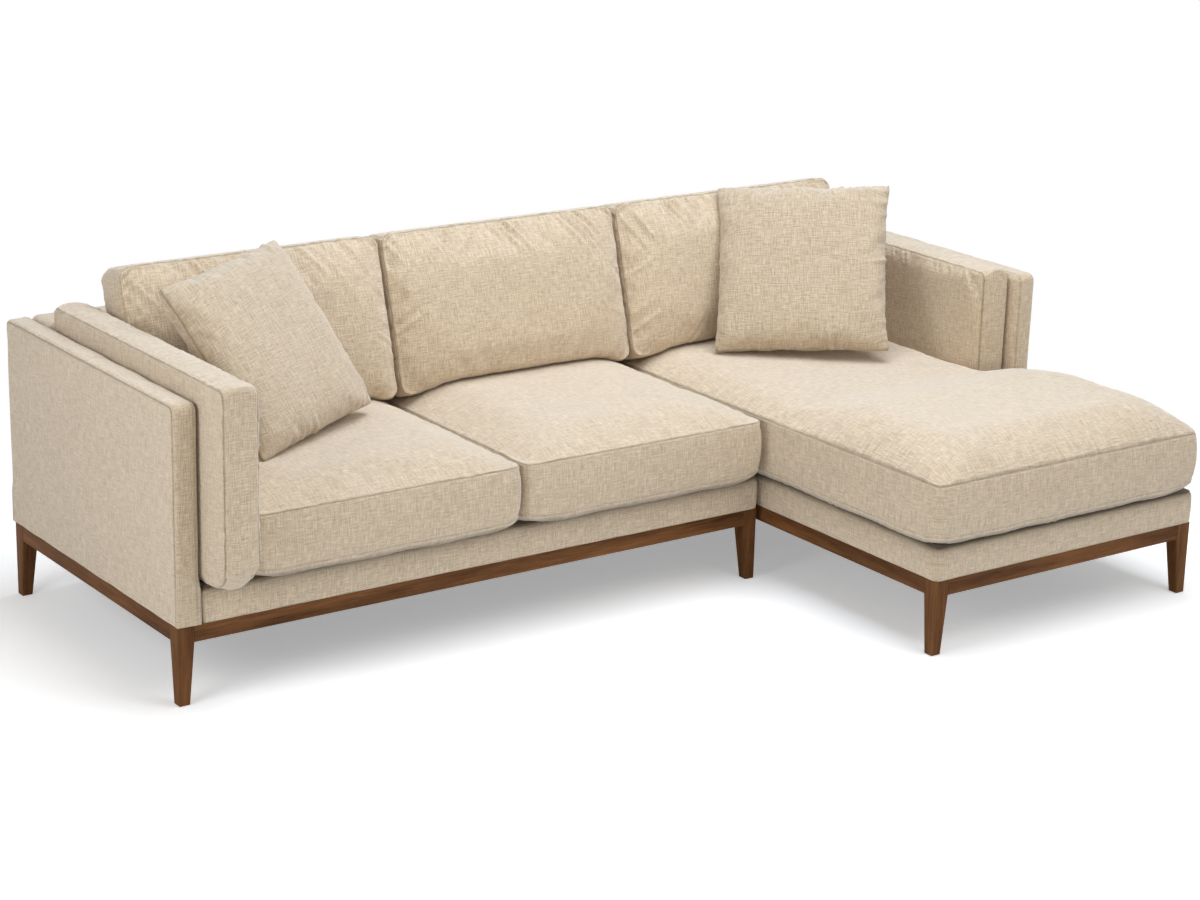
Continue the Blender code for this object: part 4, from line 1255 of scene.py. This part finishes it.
def paintCreviceShade(pieces):
    # painted shade beside a contact only: what lies flat against another cover gets none, for the two come
    # apart
    reach = press["reach"]
    start, end = press["facing"]
    trees = [surfaceBelow(piece) for piece in pieces]
    places = [points(piece) for piece in pieces]
    limits = [(place.min(axis=0) - reach, place.max(axis=0) + reach) for place in places]
    for index, piece in enumerate(pieces):
        place = places[index]
        normals = normalsOf(piece)
        mask = np.empty(len(place), dtype=np.float32)
        piece.data.attributes["paintedShade"].data.foreach_get("value", mask)
        for other, tree in enumerate(trees):
            low, high = limits[other]
            if other == index:
                continue
            for point in np.nonzero(((place > low) & (place < high)).all(axis=1))[0]:
                here = Vector(place[point])
                found, _, _, away = tree.find_nearest(here, reach)
                if found is None:
                    continue
                facing = (found - here).dot(Vector(normals[point])) / max(away, 1e-6)
                beside = min(max((end - facing) / (end - start), 0.0), 1.0)
                shade = press["strength"] * (1.0 - away / reach) ** press["power"] * beside
                mask[point] = max(mask[point], shade)
        piece.data.attributes["paintedShade"].data.foreach_set("value", mask)


paintCreviceShade([
    seatLeft, seatRight, chaise, padLeft, padRight, *backs,
    armLeft, armRight, backMain, backChaise, mainBand, chaiseBand,
])
print("crevices darkened")


# The wooden plinth, the hidden frame and the connectors stay CAD nodes

finishes = [
    (("_leg_",), walnutZ),
    (("_rail_front", "_rail_back"), walnutX),
    (("_rail_",), walnutY),
    (("_block_", "main_base_back", "chaise_base_back"), pineX),
    (("main_base_left", "chaise_base_arm_side"), pineY),
    (("webbing",), webbingSkin),
    (("_deck",), deckSkin),
    (("dust",), dustSkin),
    (("connector",), steelSkin),
]
legSoftening = 0.003


def dress(name, node):
    for words, material in finishes:
        if any(word in name for word in words):
            node.data.materials.clear()
            node.data.materials.append(material)
            return


def softenEdges(node, width):
    # the CAD faces share no vertices until they are welded
    weld = node.modifiers.new("Weld", "WELD")
    weld.merge_threshold = 0.00002
    bevel = node.modifiers.new("Bevel", "BEVEL")
    bevel.width = width
    bevel.segments = 3
    bevel.limit_method = "ANGLE"
    bevel.angle_limit = math.radians(35)
    bevel.harden_normals = False


for name, node in nodes.items():
    dress(name, node)
    if "_leg_" in name:
        softenEdges(node, legSoftening)
print("wood and hidden pieces dressed")


# Studio: pale floor, white surroundings, one soft key from the upper left

studio = {
    "floor": (0.94, 0.94, 0.94),
    "floorLift": 0.34,
    "floorFade": (1.5, 2.8),
    "fillTop": 0.08,
    "fillHorizon": 0.66,
    "aim": (0.0, -0.2, 0.4),
    "lamps": {
        "key": (121.0, 3.2, (0.4, -0.1, 4.2), (0.94, 1.0, 1.09)),
        "front": (36.0, 2.4, (1.0, -2.4, 3.2), (1.0, 1.0, 1.0)),
        "side": (25.0, 1.4, (-3.3, -0.7, 1.7), (1.0, 1.0, 1.0)),
    },
}


def floorPlane():
    bm = bmesh.new()
    bmesh.ops.create_grid(bm, x_segments=1, y_segments=1, size=8.0)
    floor = addMesh("floor", bm)
    floor.location.z = -0.0005
    material, tree, skin = shader("floorPaper", studio["floor"], 0.9)
    setInputs(skin, {"Specular IOR Level": 0.0, "Emission Color": (1.0, 1.0, 1.0, 1.0)})
    seen = addNode(tree, "LightPath").outputs["Is Camera Ray"]
    tree.links.new(calc(tree, "MULTIPLY", seen, studio["floorLift"]), skin.inputs["Emission Strength"])
    far = addNode(tree, "VectorMath", operation="LENGTH")
    tree.links.new(objectPlace(tree), far.inputs[0])
    start, end = studio["floorFade"]
    values = {"From Min": start, "From Max": end, "To Min": 1.0, "To Max": 0.0}
    fade = addNode(tree, "MapRange", values, interpolation_type="SMOOTHSTEP")
    tree.links.new(far.outputs["Value"], fade.inputs["Value"])
    tree.links.new(fade.outputs["Result"], skin.inputs["Alpha"])
    floor.data.materials.append(material)


def areaLamp(name, power, size, place, color):
    data = bpy.data.lights.new(name, "AREA")
    data.energy = power
    data.color = color
    data.shape = "DISK"
    data.size = size
    lamp = addObject(name, data)
    lamp.location = place
    toAim = Vector(studio["aim"]) - Vector(place)
    lamp.rotation_euler = toAim.to_track_quat("-Z", "Y").to_euler()


def whiteWorld():
    world = bpy.data.worlds.new("studio")
    scene.world = world
    world.use_nodes = True
    tree = world.node_tree
    background = tree.nodes["Background"]
    setInputs(background, {"Color": (1.0, 1.0, 1.0, 1.0)})
    place = addNode(tree, "TexCoord")
    split = addNode(tree, "SeparateXYZ")
    tree.links.new(place.outputs["Generated"], split.inputs[0])
    height = calc(tree, "MAXIMUM", split.outputs["Z"], 0.0)
    horizon = studio["fillHorizon"]
    fill = calc(tree, "MULTIPLY_ADD", height, studio["fillTop"] - horizon, horizon)
    path = addNode(tree, "LightPath")
    seen = calc(tree, "MAXIMUM", path.outputs["Is Camera Ray"], path.outputs["Is Glossy Ray"])
    seen = calc(tree, "MAXIMUM", seen, path.outputs["Is Transmission Ray"])
    strength = calc(tree, "MAXIMUM", seen, fill)
    tree.links.new(strength, background.inputs["Strength"])


floorPlane()
for name, lamp in studio["lamps"].items():
    areaLamp(name, *lamp)
whiteWorld()
scene.view_settings.view_transform = "Standard"


# Camera fitted to the photo

camera = {
    "azimuth": -35.712,
    "elevation": 17.2231,
    "roll": 1.4492,
    "distance": 7.2052,
    "target": (0.011, 0.0823, 0.3649),
    "lens": 83.834,
}


def placeCamera():
    azimuth, elevation, tilt = (math.radians(camera[k]) for k in ("azimuth", "elevation", "roll"))
    level = math.cos(elevation)
    behind = Vector((math.sin(azimuth) * level, -math.cos(azimuth) * level, math.sin(elevation)))
    right = (-behind).cross(Vector((0, 0, 1))).normalized()
    up = right.cross(-behind)
    across = right * math.cos(tilt) + up * math.sin(tilt)
    upward = up * math.cos(tilt) - right * math.sin(tilt)
    matrix = Matrix((across, upward, behind)).transposed().to_4x4()
    matrix.translation = Vector(camera["target"]) + behind * camera["distance"]
    data = bpy.data.cameras.new("camera")
    data.sensor_width = 36.0
    data.lens = camera["lens"]
    made = addObject("camera", data)
    made.matrix_world = matrix
    scene.camera = made


placeCamera()
print("camera placed")
